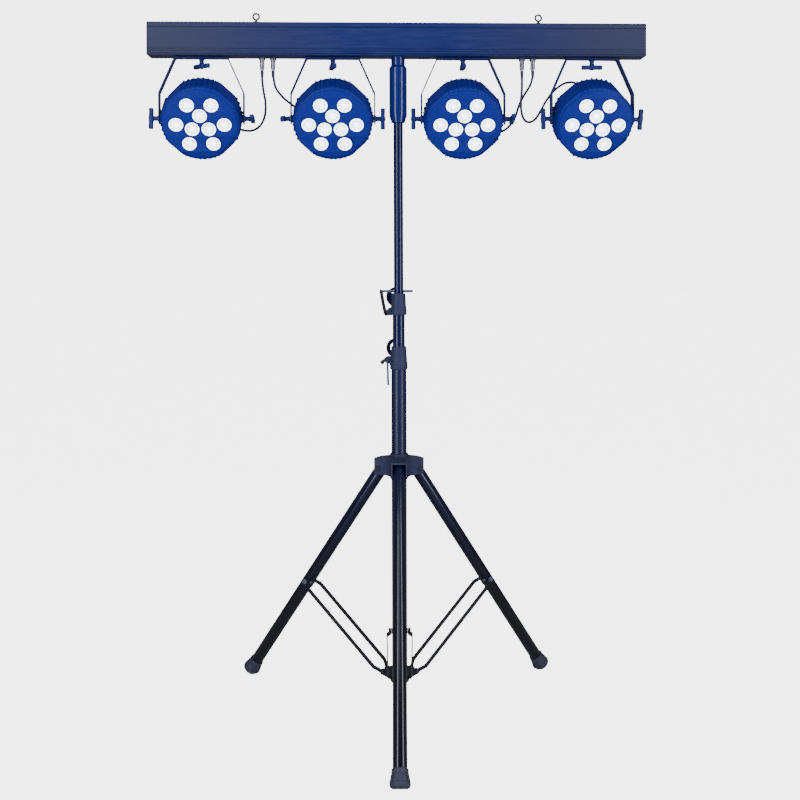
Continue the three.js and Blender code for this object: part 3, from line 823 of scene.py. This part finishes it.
def build_mast():
    put("mast_base", mesh_of(tube_form(**BASE_TUBE)), "base", "matt", "base_tube")
    plug = drum([(0, 49.5), (12, 49.5), (16.6, 50.8), (16.6, 52.2), (15.8, 52.3), (15.8, 65), (0, 65)], 0.5)
    put("mast_foot_plug", mesh_of(plug), "base", "rubber")
    put("mast_middle", mesh_of(tube_form(**MID_TUBE)), "mid_mast", "tube", "mid_tube")
    put("mast_top", mesh_of(tube_form(**TOP_TUBE)), "top_mast", "tube", "top_tube")
    grommet = ring([(3.1, 10.2), (4.6, 10.2), (4.4, 11.6), (3.1, 11.6)], 0.2, 24)
    sides = [moved(grommet, at(0, 0, PIN_Z) @ turn(90 * side, "Y")) for side in (1, -1)]
    put("mast_pin_rims", mesh_of(*sides), "top_mast", "steel")

    lower = collar_mesh(LOWER_COLLAR, BASE_TUBE, MID_TUBE)
    put("collar_lower", lower, "base", "plastic", "lower_collar", sharp=28)
    upper = collar_mesh(UPPER_COLLAR, MID_TUBE, TOP_TUBE)
    put("collar_upper", upper, "mid_mast", "plastic", "upper_collar", sharp=28)
    for name, collar, spin in (("lower", LOWER_COLLAR, 10), ("upper", UPPER_COLLAR, -15)):
        middle = (collar["bottom"] + collar["top"]) / 2
        knob = f"{name}_collar_knob"
        put_knob(knob, knob, radial(COLLAR_BOSS + GAP, middle, COLLAR_KNOB_TURN, spin))


def build_pins():
    """The pin through the top tube, its strap and the lugs of both collars."""
    rod = drum([(0, -36), (3, -36), (3, 32.4), (2.4, 33), (0, 33)], 0.3, 24)
    head = drum([(0, -44), (4.5, -44), (4.5, -42.6), (2.2, -35.2), (0, -35)], 0.5, 24)
    put("pin_upper_rod", mesh_of(rod), "upper_pin", "bolt", "upper_pin", where=at(z=PIN_Z) @ turn(90, "Y"))
    put("pin_upper_head", mesh_of(head), "upper_pin", "strap", where=at(z=PIN_Z) @ turn(90, "Y"))
    line = [(-40, 949), (-38.5, 938), (-36, 924), (-33.5, 912), (-31, 900), (-27, 894.5)]
    band = prism(strap_outline(line, 8, 6), -3, 3, 0.8)
    put("pin_upper_strap", mesh_of(moved(band, turn(90, "X"))), "upper_pin", "strap")
    for name, body, fillet, line in (
        ("upper", "mid_mast", 1.6, [(-33, 894), (-16, 894), (-16, 914), (-24, 911), (-30, 904)]),
        ("lower", "base", 1.8, [(-32, 786), (-17, 781), (-17, 800), (-25, 801), (-31, 797)]),
    ):
        lug = prism(filleted(line, fillet, 3, closed=True), -3, 3, 0.8)
        put(f"collar_{name}_lug", mesh_of(moved(lug, turn(90, "X"))), body, "plastic")


def pin_loops(z, y):
    """Three turns of the moulded loop that keeps a pin on its collar, standing behind the tube."""
    loops = []
    for radius, shift in ((20.5, 0.0), (18.2, 3.2), (15.8, 6.4)):
        where = at(-7.5 + 0.3 * shift, y + shift, z) @ turn(20) @ turn(90, "X")
        loops.append(moved(hoop(radius, 1.9, 12), where))
    return mesh_of(*loops)


def build_spare_pin():
    """The second pin, hanging by its head from the lower collar."""
    shaft = drum([(0, 733), (2, 733), (2.7, 735), (2.7, 786), (0, 786)], 0.3, 24)
    lean = at(-25.5, 0, 760) @ turn(-2, "Y") @ at(0, 0, -760)
    put("pin_spare_shaft", mesh_of(moved(shaft, lean)), "base", "bolt")
    head = drum([(0, 0), (4.6, 0), (4.6, 7), (3.4, 9), (3.4, 21), (0, 21)], 0.8, 28)
    put("pin_spare_head", mesh_of(moved(head, at(-41.5, 0, 783.5) @ turn(49, "Y"))), "base", "strap")
    put("pin_spare_loops", pin_loops(817.5, 27.5), "base", "cable")
    put("pin_upper_loops", pin_loops(936, 23), "mid_mast", "cable")


# ---- Legs ----

def leg_frame(side):
    return turn(LEG_TURNS[side]) @ at(LEG["pivot_r"], 0, LEG["pivot_z"]) @ turn(-LEG["spread"], "Y")


def hub_outline():
    """The plan of the hub: three square-ended arms with large hollows between them."""
    half = CHANNEL["outer"]
    points = []
    azimuths = sorted(LEG_TURNS.values())
    for azimuth, following in zip(azimuths, [*azimuths[1:], azimuths[0] + 360]):
        spin = Matrix.Rotation(math.radians(azimuth), 2)
        for x, y, r in ((HUB["reach"], -half, 3), (HUB["reach"], half, 3), (HUB["arm"], half, 6)):
            points.append((*(spin @ Vector((x, y))), r))
        hollow = Matrix.Rotation(math.radians((azimuth + following) / 2), 2)
        for along, across in ((33.6, -15), (30.6, -7), (29.8, 0), (30.6, 7), (33.6, 15)):
            points.append((*(hollow @ Vector((along, across))), 3))
        ahead = Matrix.Rotation(math.radians(following), 2)
        points.append((*(ahead @ Vector((HUB["arm"], -half))), 6))
    return filleted(points, 3, 3, closed=True)


def hub_mesh():
    """The hub: its plan, less the leg channels, the bore, the sloping top and the arms' undersides."""
    body = mesh_of(prism(hub_outline(), HUB["bottom"], HUB["top"], 1.6))
    half = CHANNEL["inner"]
    channel = sharp_block((26.5, -half, 500), (90, half, HUB["top"] - HUB["plate"]))
    cutters = [moved(channel, turn(azimuth)) for azimuth in LEG_TURNS.values()]
    cutters.append(lathe([(0, 500), (HUB["bore"], 500), (HUB["bore"], 600), (0, 600)], 64))
    cutters.append(lathe([*HUB_SLOPE, (HUB_SLOPE[-1][0], 620), (0, 620)], 96))
    slant = sharp_block((-40, -40, 0), (40, 40, 40))
    for azimuth in LEG_TURNS.values():
        lean = turn(azimuth) @ at(HUB["reach"] - 4, 0, HUB["bottom"] + 5) @ turn(150, "Y")
        cutters.append(moved(slant, lean @ at(0, 0, 3)))
    return carved(body, *cutters, edge=0.7)


def boot_mesh(floor, leg_end):
    """A rubber boot with a rolled top band, a waist and a plain base, and the height of its sole."""
    sole = FOOT["sink"] - floor
    top = sole + FOOT["height"]
    waist = [(17.5, 0, 2), (19.3, 1.2, 2.5), (21.1, 5, 2), (20.8, 9, 0.6), (19.2, 10, 0.6),
             (16.6, 25.4, 0.6), (17.4, 26.6, 0.6), (16.8, 33.8, 1), (16, FOOT["height"], 1)]
    profile = [(0, sole)]
    profile += [(r, sole + z, fillet) for r, z, fillet in waist]
    profile += [(14.8, top, 0.4), (14.8, -leg_end - 0.3, 0), (0, -leg_end - 0.3)]
    return mesh_of(lathe(filleted(profile, 0.5, 3), 64)), sole


def build_legs():
    put("hub_body", hub_mesh(), "hub", "plastic", "leg_hub", sharp=30)
    top_ring = ring([(17.9, 570), (22, 570), (21.5, 575), (20, 576.5), (17.9, 576.5)], 0.9, 64)
    put("hub_top_ring", mesh_of(top_ring), "hub", "plastic")
    bolts = []
    for azimuth in LEG_TURNS.values():
        for side in (1, -1):
            spot = at(LEG["pivot_r"], side * CHANNEL["outer"], LEG["pivot_z"])
            bolts.append(moved_mesh(M6_BOLT, turn(azimuth) @ spot @ turn(-90 * side, "X")))
    put("hub_pivot_bolts", mesh_of(*bolts), "hub", "strap")
    boss = mesh_of(moved(block((24, -8, 540), (HUB_KNOB["reach"], 8, 559), 1, 2), turn(HUB_KNOB["turn"])))
    put("hub_knob_boss", boss, "hub", "plastic")
    where = radial(HUB_KNOB["reach"] + GAP, HUB_KNOB["z"], HUB_KNOB["turn"], 10)
    put_knob("hub_knob", "hub_knob", where)

    floor = LEG["pivot_z"] / math.cos(SPREAD)
    leg_end = floor - FOOT["tube"]
    outer, inner, head = LEG["r"], LEG["r"] - LEG["wall"], LEG["head"]
    leg = mesh_of(
        ring([(outer, -leg_end), (outer, head), (inner, head), (inner, -leg_end)], 0.6, 56),
        drum([(0, 9), (12.9, 9), (12.9, 11.6), (10.5, 12.6), (0, 12.6)], 0.6, 40),
    )
    saddle = saddle_mesh()
    bolts = leg_bolts()
    boot, sole = boot_mesh(floor, leg_end)
    rib_line = [(18.9, 9.4), (20.7, 9.8), (17.3, 26.4), (15.9, 26)]
    rib = mesh_of(moved(prism(filleted(rib_line, 0.5, 2, closed=True), -2.2, 2.2, 0.5), turn(90, "X")))
    ribs = copies_round(rib, 12, 0.0, finish=FINISHES["rubber"])
    bolt_r = LEG["pivot_r"] + LEG["clamp"] * math.sin(SPREAD)
    bolt_z = LEG["pivot_z"] - LEG["clamp"] * math.cos(SPREAD)
    reach = math.hypot(bolt_r - BRACKET["pivot_r"], bolt_z - BRACKET["pivot_z"])
    rise = math.degrees(math.atan2(bolt_z - BRACKET["pivot_z"], bolt_r - BRACKET["pivot_r"]))
    brace = brace_mesh(reach)
    for side in LEG_TURNS:
        where = leg_frame(side)
        put(f"leg_{side}_tube", leg, f"leg_{side}", "tube", f"leg_{side}", where=where)
        put(f"leg_{side}_saddle", saddle, f"leg_{side}", "strap", where=where)
        bolt_finish = "strap" if side == "front" else "bolt"
        put(f"leg_{side}_bolts", bolts, f"leg_{side}", bolt_finish, where=where)
        whole = boot.copy()
        whole.transform(where)
        flat = carved(whole, sharp_block((-900, -900, -90), (900, 900, 0)))
        put(f"foot_{side}_boot", flat, f"leg_{side}", "rubber", f"foot_{side}")
        put(f"foot_{side}_ribs", ribs, f"leg_{side}", "rubber", where=where @ at(z=sole))
        arm = turn(LEG_TURNS[side]) @ at(BRACKET["pivot_r"], 0, BRACKET["pivot_z"]) @ turn(-rise, "Y")
        put(f"brace_{side}_bars", brace, f"brace_{side}", "strap", f"brace_{side}", where=arm)


def saddle_mesh():
    """The brace's saddle, wrapped round the side of the leg that faces the pole."""
    arc = [math.radians(95 + 10 * i) for i in range(18)]
    outer, inner, down = 15.9, 14.3, -LEG["clamp"]
    outline = [(outer * math.cos(a), outer * math.sin(a)) for a in arc]
    outline += [(inner * math.cos(a), inner * math.sin(a)) for a in reversed(arc)]
    wrap = prism(outline, down - 9, down + 9, 0.3)
    spacer = drum([(0, -16.3), (5, -16.3), (5, 16.3), (0, 16.3)], 0.4, 28)
    return mesh_of(wrap, moved(spacer, at(z=down) @ turn(90, "X")))


def leg_bolts():
    """Two small bolts in the brace's saddle, and the ends of the brace's through bolt."""
    down = -LEG["clamp"]
    pair = [moved_mesh(M5_SCREW, turn(180 + side * 40) @ at(x=15.7, z=down + 5) @ turn(90, "Y"))
            for side in (1, -1)]
    ends = [moved_mesh(M6_BOLT, at(y=side * 19.2, z=down) @ turn(-90 * side, "X")) for side in (1, -1)]
    return mesh_of(*pair, *ends)


def moved_mesh(mesh, matrix):
    mesh = mesh.copy()
    mesh.transform(matrix)
    return mesh


def brace_mesh(reach):
    """Two flat bars bent in at both ends, on one pin at the origin."""
    inset, lateral, top = BRACE["inset"], BRACE["lateral"], BRACE["top"]
    line = [(-4, inset), (6, inset), (22, lateral),
            (reach - 22, lateral), (reach - 8, top), (reach + 4.5, top)]
    bars = []
    for side in (1, -1):
        outline = strap_outline([(x, side * y) for x, y in line], BRACE["thickness"], 8)
        bars.append(prism(outline, -BRACE["width"] / 2, BRACE["width"] / 2, 0.5))
    pin = moved(drum([(0, -17), (3, -17), (3, 17), (0, 17)], 0.4, 24), turn(90, "X"))
    head = drum([(0, 0), (4.6, 0), (4.4, 1.6), (0, 2.6)], 0.8, 20)
    heads = [moved(head, at(y=16 * side) @ turn(-90 * side, "X")) for side in (1, -1)]
    return mesh_of(*bars, pin, *heads)


def build_bracket():
    """The collar at the foot of the mast that carries the braces."""
    sleeve = ring([(17.8, 52), (21, 52), (22, 55, 0.8), (22, 77), (24, 79, 0.8), (24, 82), (17.8, 82)],
                  0.5, 56)
    side = [(18, 55), (25, 58, 3), (37, 61.5, 3), (45.5, 66, 4), (44, 75.5, 4), (31, 77, 3), (18, 79)]
    cheek = filleted(side, 3, 4, closed=True)
    web = filleted([(18, 57), (30, 61, 2), (31, 74, 2), (18, 77)], 2, 3, closed=True)
    forms = [prism(cheek, 6.5, 13, 0.9), prism(cheek, -13, -6.5, 0.9), prism(web, -8, 8, 0.6)]
    lugs = [moved(form, turn(azimuth) @ turn(90, "X")) for azimuth in LEG_TURNS.values() for form in forms]
    put("bracket_sleeve", mesh_of(sleeve, *lugs), "base", "strap", "lower_bracket")


# ---- Bar ----

def bar_section():
    """The front-to-back section of the bar, with its drawn grooves, as (depth, height) points."""
    low, high, deep = BAR["bottom"], BAR["top"], BAR["deep"]
    front = [(-deep, low, 0.8)]
    grooves = ((low + 3, 1.1, 1.8), (low + 8.5, 0.7, 1.1), (low + 14, 0.8, 1.2), (high - 12, 1, 1.5))
    for z, half, deeper in grooves:
        floor = -deep + deeper
        front += [(-deep, z - half, 0), (floor, z - half * 0.6, 0), (floor, z + half * 0.6, 0),
                  (-deep, z + half, 0)]
    front += [(-deep, high, 1.2), (deep, high, 1.2), (deep, low, 1.2)]
    under = [(9, 0), (8.4, 0.7), (6.6, 0.7), (6, 0)]
    under = [(-deep + y, low + z, 0) for y, z in under]
    return filleted(front + under, 1, 4, closed=True)


def build_bar():
    half, low, high, deep, cap = BAR["half"], BAR["bottom"], BAR["top"], BAR["deep"], BAR["cap"]
    flat = prism(bar_section()[::-1], -half, half, 0.3)
    put("bar_extrusion", mesh_of(moved(flat, ALONG_X)), "bar", "bar", "bar_body", sharp=25)
    outline = filleted([(-deep, low), (deep, low), (deep, high), (-deep, high)], 1.2, 3, closed=True)
    plate = prism(outline, -cap / 2, cap / 2, 0.5)
    for side, sign in (("left", -1), ("right", 1)):
        x = sign * (half + GAP + cap / 2)
        end = mesh_of(moved(plate, at(x=x) @ ALONG_X))
        put(f"bar_cap_{side}", end, "bar", "bar", f"bar_end_cap_{side}")
        screws = [moved_mesh(M3_SCREW, at(x - sign * 0.1, y, z) @ turn(90 * sign, "Y"))
                  for y in (-20, 20) for z in (low + 8, high - 8)]
        put(f"bar_cap_{side}_screws", mesh_of(*screws), "bar", "steel")
        build_eye(side, sign)
        build_plugs(side, sign)


def build_eye(side, sign):
    """A forged eye bolt on its nut and washer."""
    eye = moved(hoop(7.1, 2.2, 16), at(z=16.8) @ turn(90, "X"))
    neck = drum([(0, 0.5), (2.4, 0.5), (2.4, 8), (3, 9.6), (2.6, 10.6), (0, 11)], 0.5, 24)
    washer = drum([(0, 0.3), (8, 0.3), (8, 1.8), (0, 1.8)], 0.4, 36)
    nut = moved_mesh(hex_bolt(9.6, 4.4), at(z=1.8))
    put(f"eye_{side}", mesh_of(eye, neck, washer, nut), "bar", "strap", f"eye_bolt_{side}",
        where=at(sign * EYE_X, 0, BAR["top"]))


def build_plugs(side, sign):
    """Two screw-on plugs under the bar, each with a knurled ring and a clamp nut."""
    profile = [(0.5, -0.5), (7, -0.5), (7, -7.6), (5.9, -8.6), (5.9, -10.2), (5.1, -11.4), (5.1, -22),
               (5.6, -23), (5.6, -26), (4.4, -27), (4.4, -31.8), (3.4, -33), (0.5, -33)]
    body = ring(profile[::-1], 0.35, 40, 2)
    knurl = mesh_of(block((-0.3, -0.3, -7), (0.75, 0.3, -1.6), 0.15, 0.1))
    knurls = copies_round(knurl, 30, 6.8, finish=FINISHES["bolt"])
    grip = mesh_of(block((-0.3, -0.35, -21), (0.5, 0.35, -12.6), 0.15, 0.1))
    grips = copies_round(grip, 16, 5.0, finish=FINISHES["bolt"])
    seat = block((-21.5, -11, -1.5), (21.5, 11, 0), 0.3, 3)
    bodies = [moved_mesh(mesh_of(body), at(x)) for x in PLUG_X]
    teeth = [moved_mesh(tooth, at(x)) for x in PLUG_X for tooth in (knurls, grips)]
    where = at(z=BAR["bottom"] - GAP) @ turn(180 if sign < 0 else 0)
    put(f"plugs_{side}", mesh_of(*bodies), "bar", "steel", f"connector_pair_{side}", where=where)
    put(f"plugs_{side}_grips", mesh_of(*teeth), "bar", "bolt", where=where)
    put(f"plugs_{side}_seat", mesh_of(moved(seat, at(sum(PLUG_X) / 2))), "bar", "bar", where=where)


def build_socket():
    """The turned socket under the bar, bored to sit on the top tube, and its set screw."""
    low, seat, high = SOCKET["bottom"], SOCKET["seat"], SOCKET["top"]
    r, neck, bore = SOCKET["r"], SOCKET["neck"], SOCKET["bore"]
    profile = [(0, seat, 0), (bore, seat, 0), (bore, low, 0.5), (16.3, low, 0.8), (16.3, low + 4, 0.8),
               (r, low + 16, 2), (r, high - 25, 2), (neck, high - 19, 1.5), (neck, 1487, 0.5),
               (17.5, high, 0.3), (0, high, 0)]
    put("mast_socket_turned", mesh_of(lathe(filleted(profile, 0.5, 4), 72)), "bar", "socket", "mast_socket")
    screw = ring([(0.9, 20.1), (2.9, 20.1), (2.9, 20.9), (0.9, 20.9)], 0.2, 20)
    put("mast_socket_screw", mesh_of(screw), "bar", "strap", where=turn(-77) @ at(z=1410) @ turn(90, "Y"))


# ---- Lamps ----

def lamp_frame(number):
    """The frame of a lamp's yoke: its pivots at the origin, its pan turned in."""
    return at(LAMP_X[number - 1], 0, LAMP_Z) @ turn(LAMP_PAN[number - 1])


def lens_places():
    inner = [(LENS["inner"], 90 + 120 * i) for i in range(3)]
    outer = [(LENS["outer"], 60 * i) for i in range(6)]
    return [(r * math.cos(math.radians(a)), r * math.sin(math.radians(a))) for r, a in inner + outer]


def can_outline(r):
    """A circle with four straight chords, one between each pair of rib groups."""
    points = []
    for i in range(144):
        angle = 2.5 * i
        off = abs(angle % 90 - 45)
        radius = r
        if off < CAN["chord"]:
            radius = r * math.cos(math.radians(CAN["chord"])) / math.cos(math.radians(off))
        points.append((radius * math.cos(math.radians(angle)), radius * math.sin(math.radians(angle))))
    return points


def shell_mesh():
    """The can's body, with the parting line of its two shells. The face sits on its front."""
    levels = ((71, -45), (74.5, -44.4), (77, -43), (87, -31), (88.8, -27), (89, -24), (89, 11.4),
              (88.4, 11.9), (88.4, 12.4), (89, 12.9), (89, 27.5), (88.6, 30), (86.8, 32.4), (83.6, 33.7))
    return mesh_of(stacked([(can_outline(r), z) for r, z in levels]))


def fin_mesh():
    """One rib on the side wall: a sharp three-cornered wedge that fades out at both ends."""
    levels = []
    for crest, wide, z in ((87.6, 1.4, -33), (91.8, 2.1, -29.5), (92.8, 2.3, -25), (92.8, 2.3, 25),
                           (91.4, 2.1, 30), (87.6, 1.6, 33.2)):
        near = crest - 0.7
        levels.append(([(86, -wide), (88, -wide), (near, -0.4), (crest, 0), (near, 0.4), (88, wide),
                        (86, wide)], z))
    return mesh_of(stacked(levels))


def lens_mesh():
    """A collimator lens: a flat rim, a shallow dish and a small dome in the middle."""
    profile = filleted([(0, 28.6), (16.95, 28.6), (16.95, 36, 0.6), (15, 36.2), (13.4, 35), (6.5, 34.2),
                        (5.4, 35.2), (3, 36.2), (0, 36.5)], 0.8, 3)
    mesh = mesh_of(lathe(profile, 36))
    reach = mesh.attributes.new("lens_reach", "FLOAT", "POINT")
    spin = mesh.attributes.new("lens_turn", "FLOAT", "POINT")
    for i, corner in enumerate(mesh.vertices):
        x, y, _ = corner.co
        reach.data[i].value = math.hypot(x, y) / LENS["r"]
        spin.data[i].value = (math.atan2(y, x) / (2 * math.pi)) % 1.0
    return mesh


def yoke_mesh():
    """The strap over one can, its two lower ends cut round."""
    elbow, rise, top, plate = YOKE["elbow"], YOKE["rise"], YOKE["top"], YOKE["plate"]
    half, drop = YOKE["width"] / 2, YOKE["drop"]
    line = [(-elbow, -drop), (-elbow, rise), (-plate, top), (plate, top), (elbow, rise), (elbow, -drop)]
    strap = moved(prism(strap_outline(line, YOKE["sheet"], 5), -half, half, 0.5), turn(90, "X"))
    corner = filleted([(-14, -16), (14, -16), (14, 0), (half, 0), (9, -9.8, 5), (0, -14.6, 9),
                       (-9, -9.8, 5), (-half, 0), (-14, 0)], 2, 4, closed=True)
    ends = [moved(prism(corner, side * elbow - 5, side * elbow + 5, TINY), ALONG_X) for side in (1, -1)]
    return carved(mesh_of(strap), *ends)


def lens_rings(mesh, finish):
    """A mesh set at all nine lens places: three in the middle, six round them."""
    return [copies_round(mesh, 3, LENS["inner"], first=90, finish=FINISHES[finish]),
            copies_round(mesh, 6, LENS["outer"], finish=FINISHES[finish])]


def build_lamps():
    holes = [(x, y, LENS["hole"]) for x, y in lens_places()]
    face = mesh_of(pierced(can_outline(83.8), holes, 4.6, 1.2))
    shell = shell_mesh()
    fins = copies_round(fin_mesh(), 32, 0.0, first=-25.9, step=7.4, group=8, group_step=90.0,
                        uneven=0.012, finish=FINISHES["can"])
    lenses = mesh_of(*lens_rings(lens_mesh(), "lens"))
    bezel = mesh_of(ring([(17.05, 33), (17.75, 33), (17.75, 37.25), (17.05, 37.25)], 0.25, 40, 2))
    bezels = mesh_of(*lens_rings(bezel, "knob"))
    vane = mesh_of(block((0, -1, -47), (26, 1, -44), 0.4, 0.8))
    vanes = copies_round(vane, 24, 34.0, finish=FINISHES["can"])
    screws = copies_round(moved_mesh(M5_SCREW, at(z=44)), 6, 66, first=30, finish=FINISHES["steel"])
    screws.transform(turn(180, "X"))
    profile = [(0, -60), (5.4, -60, 0.5), (6.4, -57, 1), (6.4, -52, 0.5), (5.6, -51.5, 0.3),
               (5.6, -50.6, 0.3), (7, -50, 0.3), (7, -45), (0, -44)]
    gland = mesh_of(lathe(filleted(profile, 0.4), 32))
    boss = drum([(0, 84), (10, 84), (9, 94.2), (0, 94.2)], 0.5, 36)
    bosses = mesh_of(*[moved(boss, turn(90 * side, "Y")) for side in (1, -1)])
    yoke = yoke_mesh()
    washer = ring([(3.6, 97.5), (8.5, 97.5), (8.5, 98.2), (3.6, 98.2)], 0.2, 32)
    washers = mesh_of(*[moved(washer, turn(90 * side, "Y")) for side in (1, -1)])
    knob_x = YOKE["elbow"] + YOKE["sheet"] / 2 + GAP
    knob_z = YOKE["top"] - YOKE["sheet"] / 2 - GAP
    for number, (pan, left, right) in enumerate(KNOB_TURNS, 1):
        name = f"lamp_{number}"
        head = lamp_frame(number)
        can = head @ turn(90 + LAMP_TILT, "X")
        body = f"can_{number}"
        put(f"{name}_shell", shell, body, "can", f"{name}_front_shell", f"{name}_rear_shell",
            where=can, sharp=40)
        put(f"{name}_face", face, body, "can", where=can @ at(z=34.7), sharp=40)
        put(f"{name}_fins", fins, body, "can", where=can, sharp=40)
        put(f"{name}_lenses", lenses, body, "lens", f"{name}_lens_plate", where=can, sharp=50)
        put(f"{name}_bezels", bezels, body, "knob", where=can)
        put(f"{name}_back_vanes", vanes, body, "can", where=can)
        put(f"{name}_back_screws", screws, body, "steel", where=can)
        put(f"{name}_gland", gland, body, "cable", where=can)
        put(f"{name}_bosses", bosses, body, "can", where=can)
        put(f"{name}_bracket", yoke, f"yoke_{number}", "yoke", f"{name}_yoke", where=head)
        put(f"{name}_washers", washers, f"yoke_{number}", "steel", where=head)
        put_knob(f"{name}_pan_knob", f"pan_knob_{number}", head @ at(z=knob_z) @ turn(180, "X") @ turn(pan))
        for side, sign, spin in (("left", -1, left), ("right", 1, right)):
            where = head @ at(x=sign * knob_x) @ turn(sign * 90, "Y") @ turn(spin)
            put_knob(f"{name}_tilt_knob_{side}", f"tilt_knob_{side}_{number}", where)


# ---- Lamp cables ----

CABLE_TOP = 1455.4
CABLE_PARTED = (0.55, 0.55, 0.55, 0.76)
CABLE_ROUTES = (
    [(-312, 0, CABLE_TOP), (-312, 0, 1440), (-310, 5, 1415), (-306, 16, 1387), (-309, 34, 1358),
     (-322, 54, 1337), (-343, 74, 1328), (-370, 91, 1332), (-398, 101, 1347), (-421, 104, 1368)],
    [(-287, 0, CABLE_TOP), (-286, 0, 1441), (-281, 4, 1418), (-266, 16, 1399), (-246, 36, 1384),
     (-224, 62, 1373), (-204, 86, 1371), (-184, 102, 1380)],
    [(312, 0, CABLE_TOP), (311, 1, 1440), (305, 8, 1422), (294, 17, 1404), (284, 28, 1382),
     (276, 41, 1355), (262, 57, 1334), (242, 74, 1324), (217, 91, 1329), (196, 102, 1346),
     (180, 104, 1368)],
    [(287, 0, CABLE_TOP), (287, -1, 1440), (286, -5, 1414), (284, -5, 1388), (286, 1, 1363),
     (295, 13, 1346), (309, 26, 1343), (324, 37, 1352), (337, 44, 1371), (350, 50, 1393), (366, 55, 1415),
     (386, 61, 1433), (408, 70, 1443), (430, 82, 1441)],
)


def on_axis(number, distance):
    """A point on a lamp's optical axis, counted from its pivots towards the lenses."""
    tilt, pan = math.radians(LAMP_TILT), math.radians(LAMP_PAN[number - 1])
    return (LAMP_X[number - 1] + distance * math.cos(tilt) * math.sin(pan),
            -distance * math.cos(tilt) * math.cos(pan), LAMP_Z - distance * math.sin(tilt))


def build_cables():
    """Each cable in two lengths, parted along its path: an upper one from the bar and a lower one to the
    can.
    """
    for number, route in enumerate(CABLE_ROUTES, 1):
        gland = CAN["back"] + CAN["gland"] + GAP
        path = smooth_path(route + [on_axis(number, -gland - behind) for behind in (34, 22, 10, 0)])
        middle = int(len(path) * CABLE_PARTED[number - 1])
        halves = (("upper", path[:middle + 1], "bar", f"yoke_{number}"),
                  ("lower", path[middle:], f"yoke_{number}", f"can_{number}"))
        for label, run, first, second in halves:
            mesh = mesh_of(sweep(run, CABLE_D / 2, 14))
            obj = dressed(f"lamp_{number}_cable_{label}", mesh, "cable", at(), 50)
            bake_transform(obj)
            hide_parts(f"lamp_{number}_cable")
        sleeve = [(0, 0.2), (4.1, 0.2), (3.9, 3), (3.2, 12), (3, 14), (0, 14)]
        top = mesh_of(moved(drum(sleeve, 0.5, 24), at(*route[0]) @ turn(180, "X")))
        put(f"lamp_{number}_cable_sleeve", top, "bar", "cable")


# ---- Studio ----

def area_light(name, x, y, z, aim, size, height, power):
    light = bpy.data.lights.new(name, "AREA")
    light.shape = "RECTANGLE"
    light.size = size
    light.size_y = height
    light.energy = power
    light.color = (0.82, 0.88, 1.0)
    obj = added(light, name)
    obj.location = place(x, y, z)
    obj.rotation_euler = (place(*aim) - obj.location).to_track_quat("-Z", "Y").to_euler()
    return obj


def build_studio():
    floor = mesh_of(([(-30, -30, 0), (30, -30, 0), (30, 30, 0), (-30, 30, 0)], [(0, 1, 2, 3)]))
    stage = added(floor, "floor")
    look = Finish("pale floor")
    tone = look.group(HANDLING, "Mask", scale=1.5)
    look.link(look.mixed(tone, (0.5, 0.5, 0.5), (0.52, 0.52, 0.52)), look.shader.inputs["Base Color"])
    seen = look.add("ShaderNodeLightPath")
    look.link(look.mixed(seen.outputs["Is Camera Ray"], (0.0, 0.0, 0.0), (1.0, 1.0, 1.0)),
              look.shader.inputs["Emission Color"])
    look.shader.inputs["Emission Strength"].default_value = 4.4
    look.shader.inputs["Roughness"].default_value = 0.9
    look.shader.inputs["Specular IOR Level"].default_value = 0.1
    floor.materials.append(look.material)
    stage.location.z = -0.0005
    area_light("strip left", -1267, -1548, 1700, (0, 0, 1700), 0.46, 3.9, 50)
    area_light("strip right", 1480, -1346, 1700, (0, 0, 1700), 0.46, 3.9, 47)
    low = area_light("low front", -89, -1450, 40, (0, 0, 1300), 1.8, 0.5, 22)
    low.visible_glossy = False
    area_light("top fill", -300, -1900, 2800, (0, 0, 900), 1.6, 1.6, 8)
    world = bpy.data.worlds.new("studio")
    bpy.context.scene.world = world
    world.use_nodes = True
    nodes, links = world.node_tree.nodes, world.node_tree.links
    nodes["Background"].inputs["Color"].default_value = (1, 1, 1, 1)
    nodes["Background"].inputs["Strength"].default_value = 0.22
    bright = nodes.new("ShaderNodeBackground")
    bright.inputs["Strength"].default_value = 5.5
    rays = nodes.new("ShaderNodeLightPath")
    both = nodes.new("ShaderNodeMixShader")
    links.new(rays.outputs["Is Camera Ray"], both.inputs["Fac"])
    links.new(nodes["Background"].outputs[0], both.inputs[1])
    links.new(bright.outputs[0], both.inputs[2])
    links.new(both.outputs[0], nodes["World Output"].inputs["Surface"])


build_cables()
build_mast()
build_pins()
build_spare_pin()
build_bracket()
build_legs()
build_bar()
build_socket()
build_lamps()
build_studio()
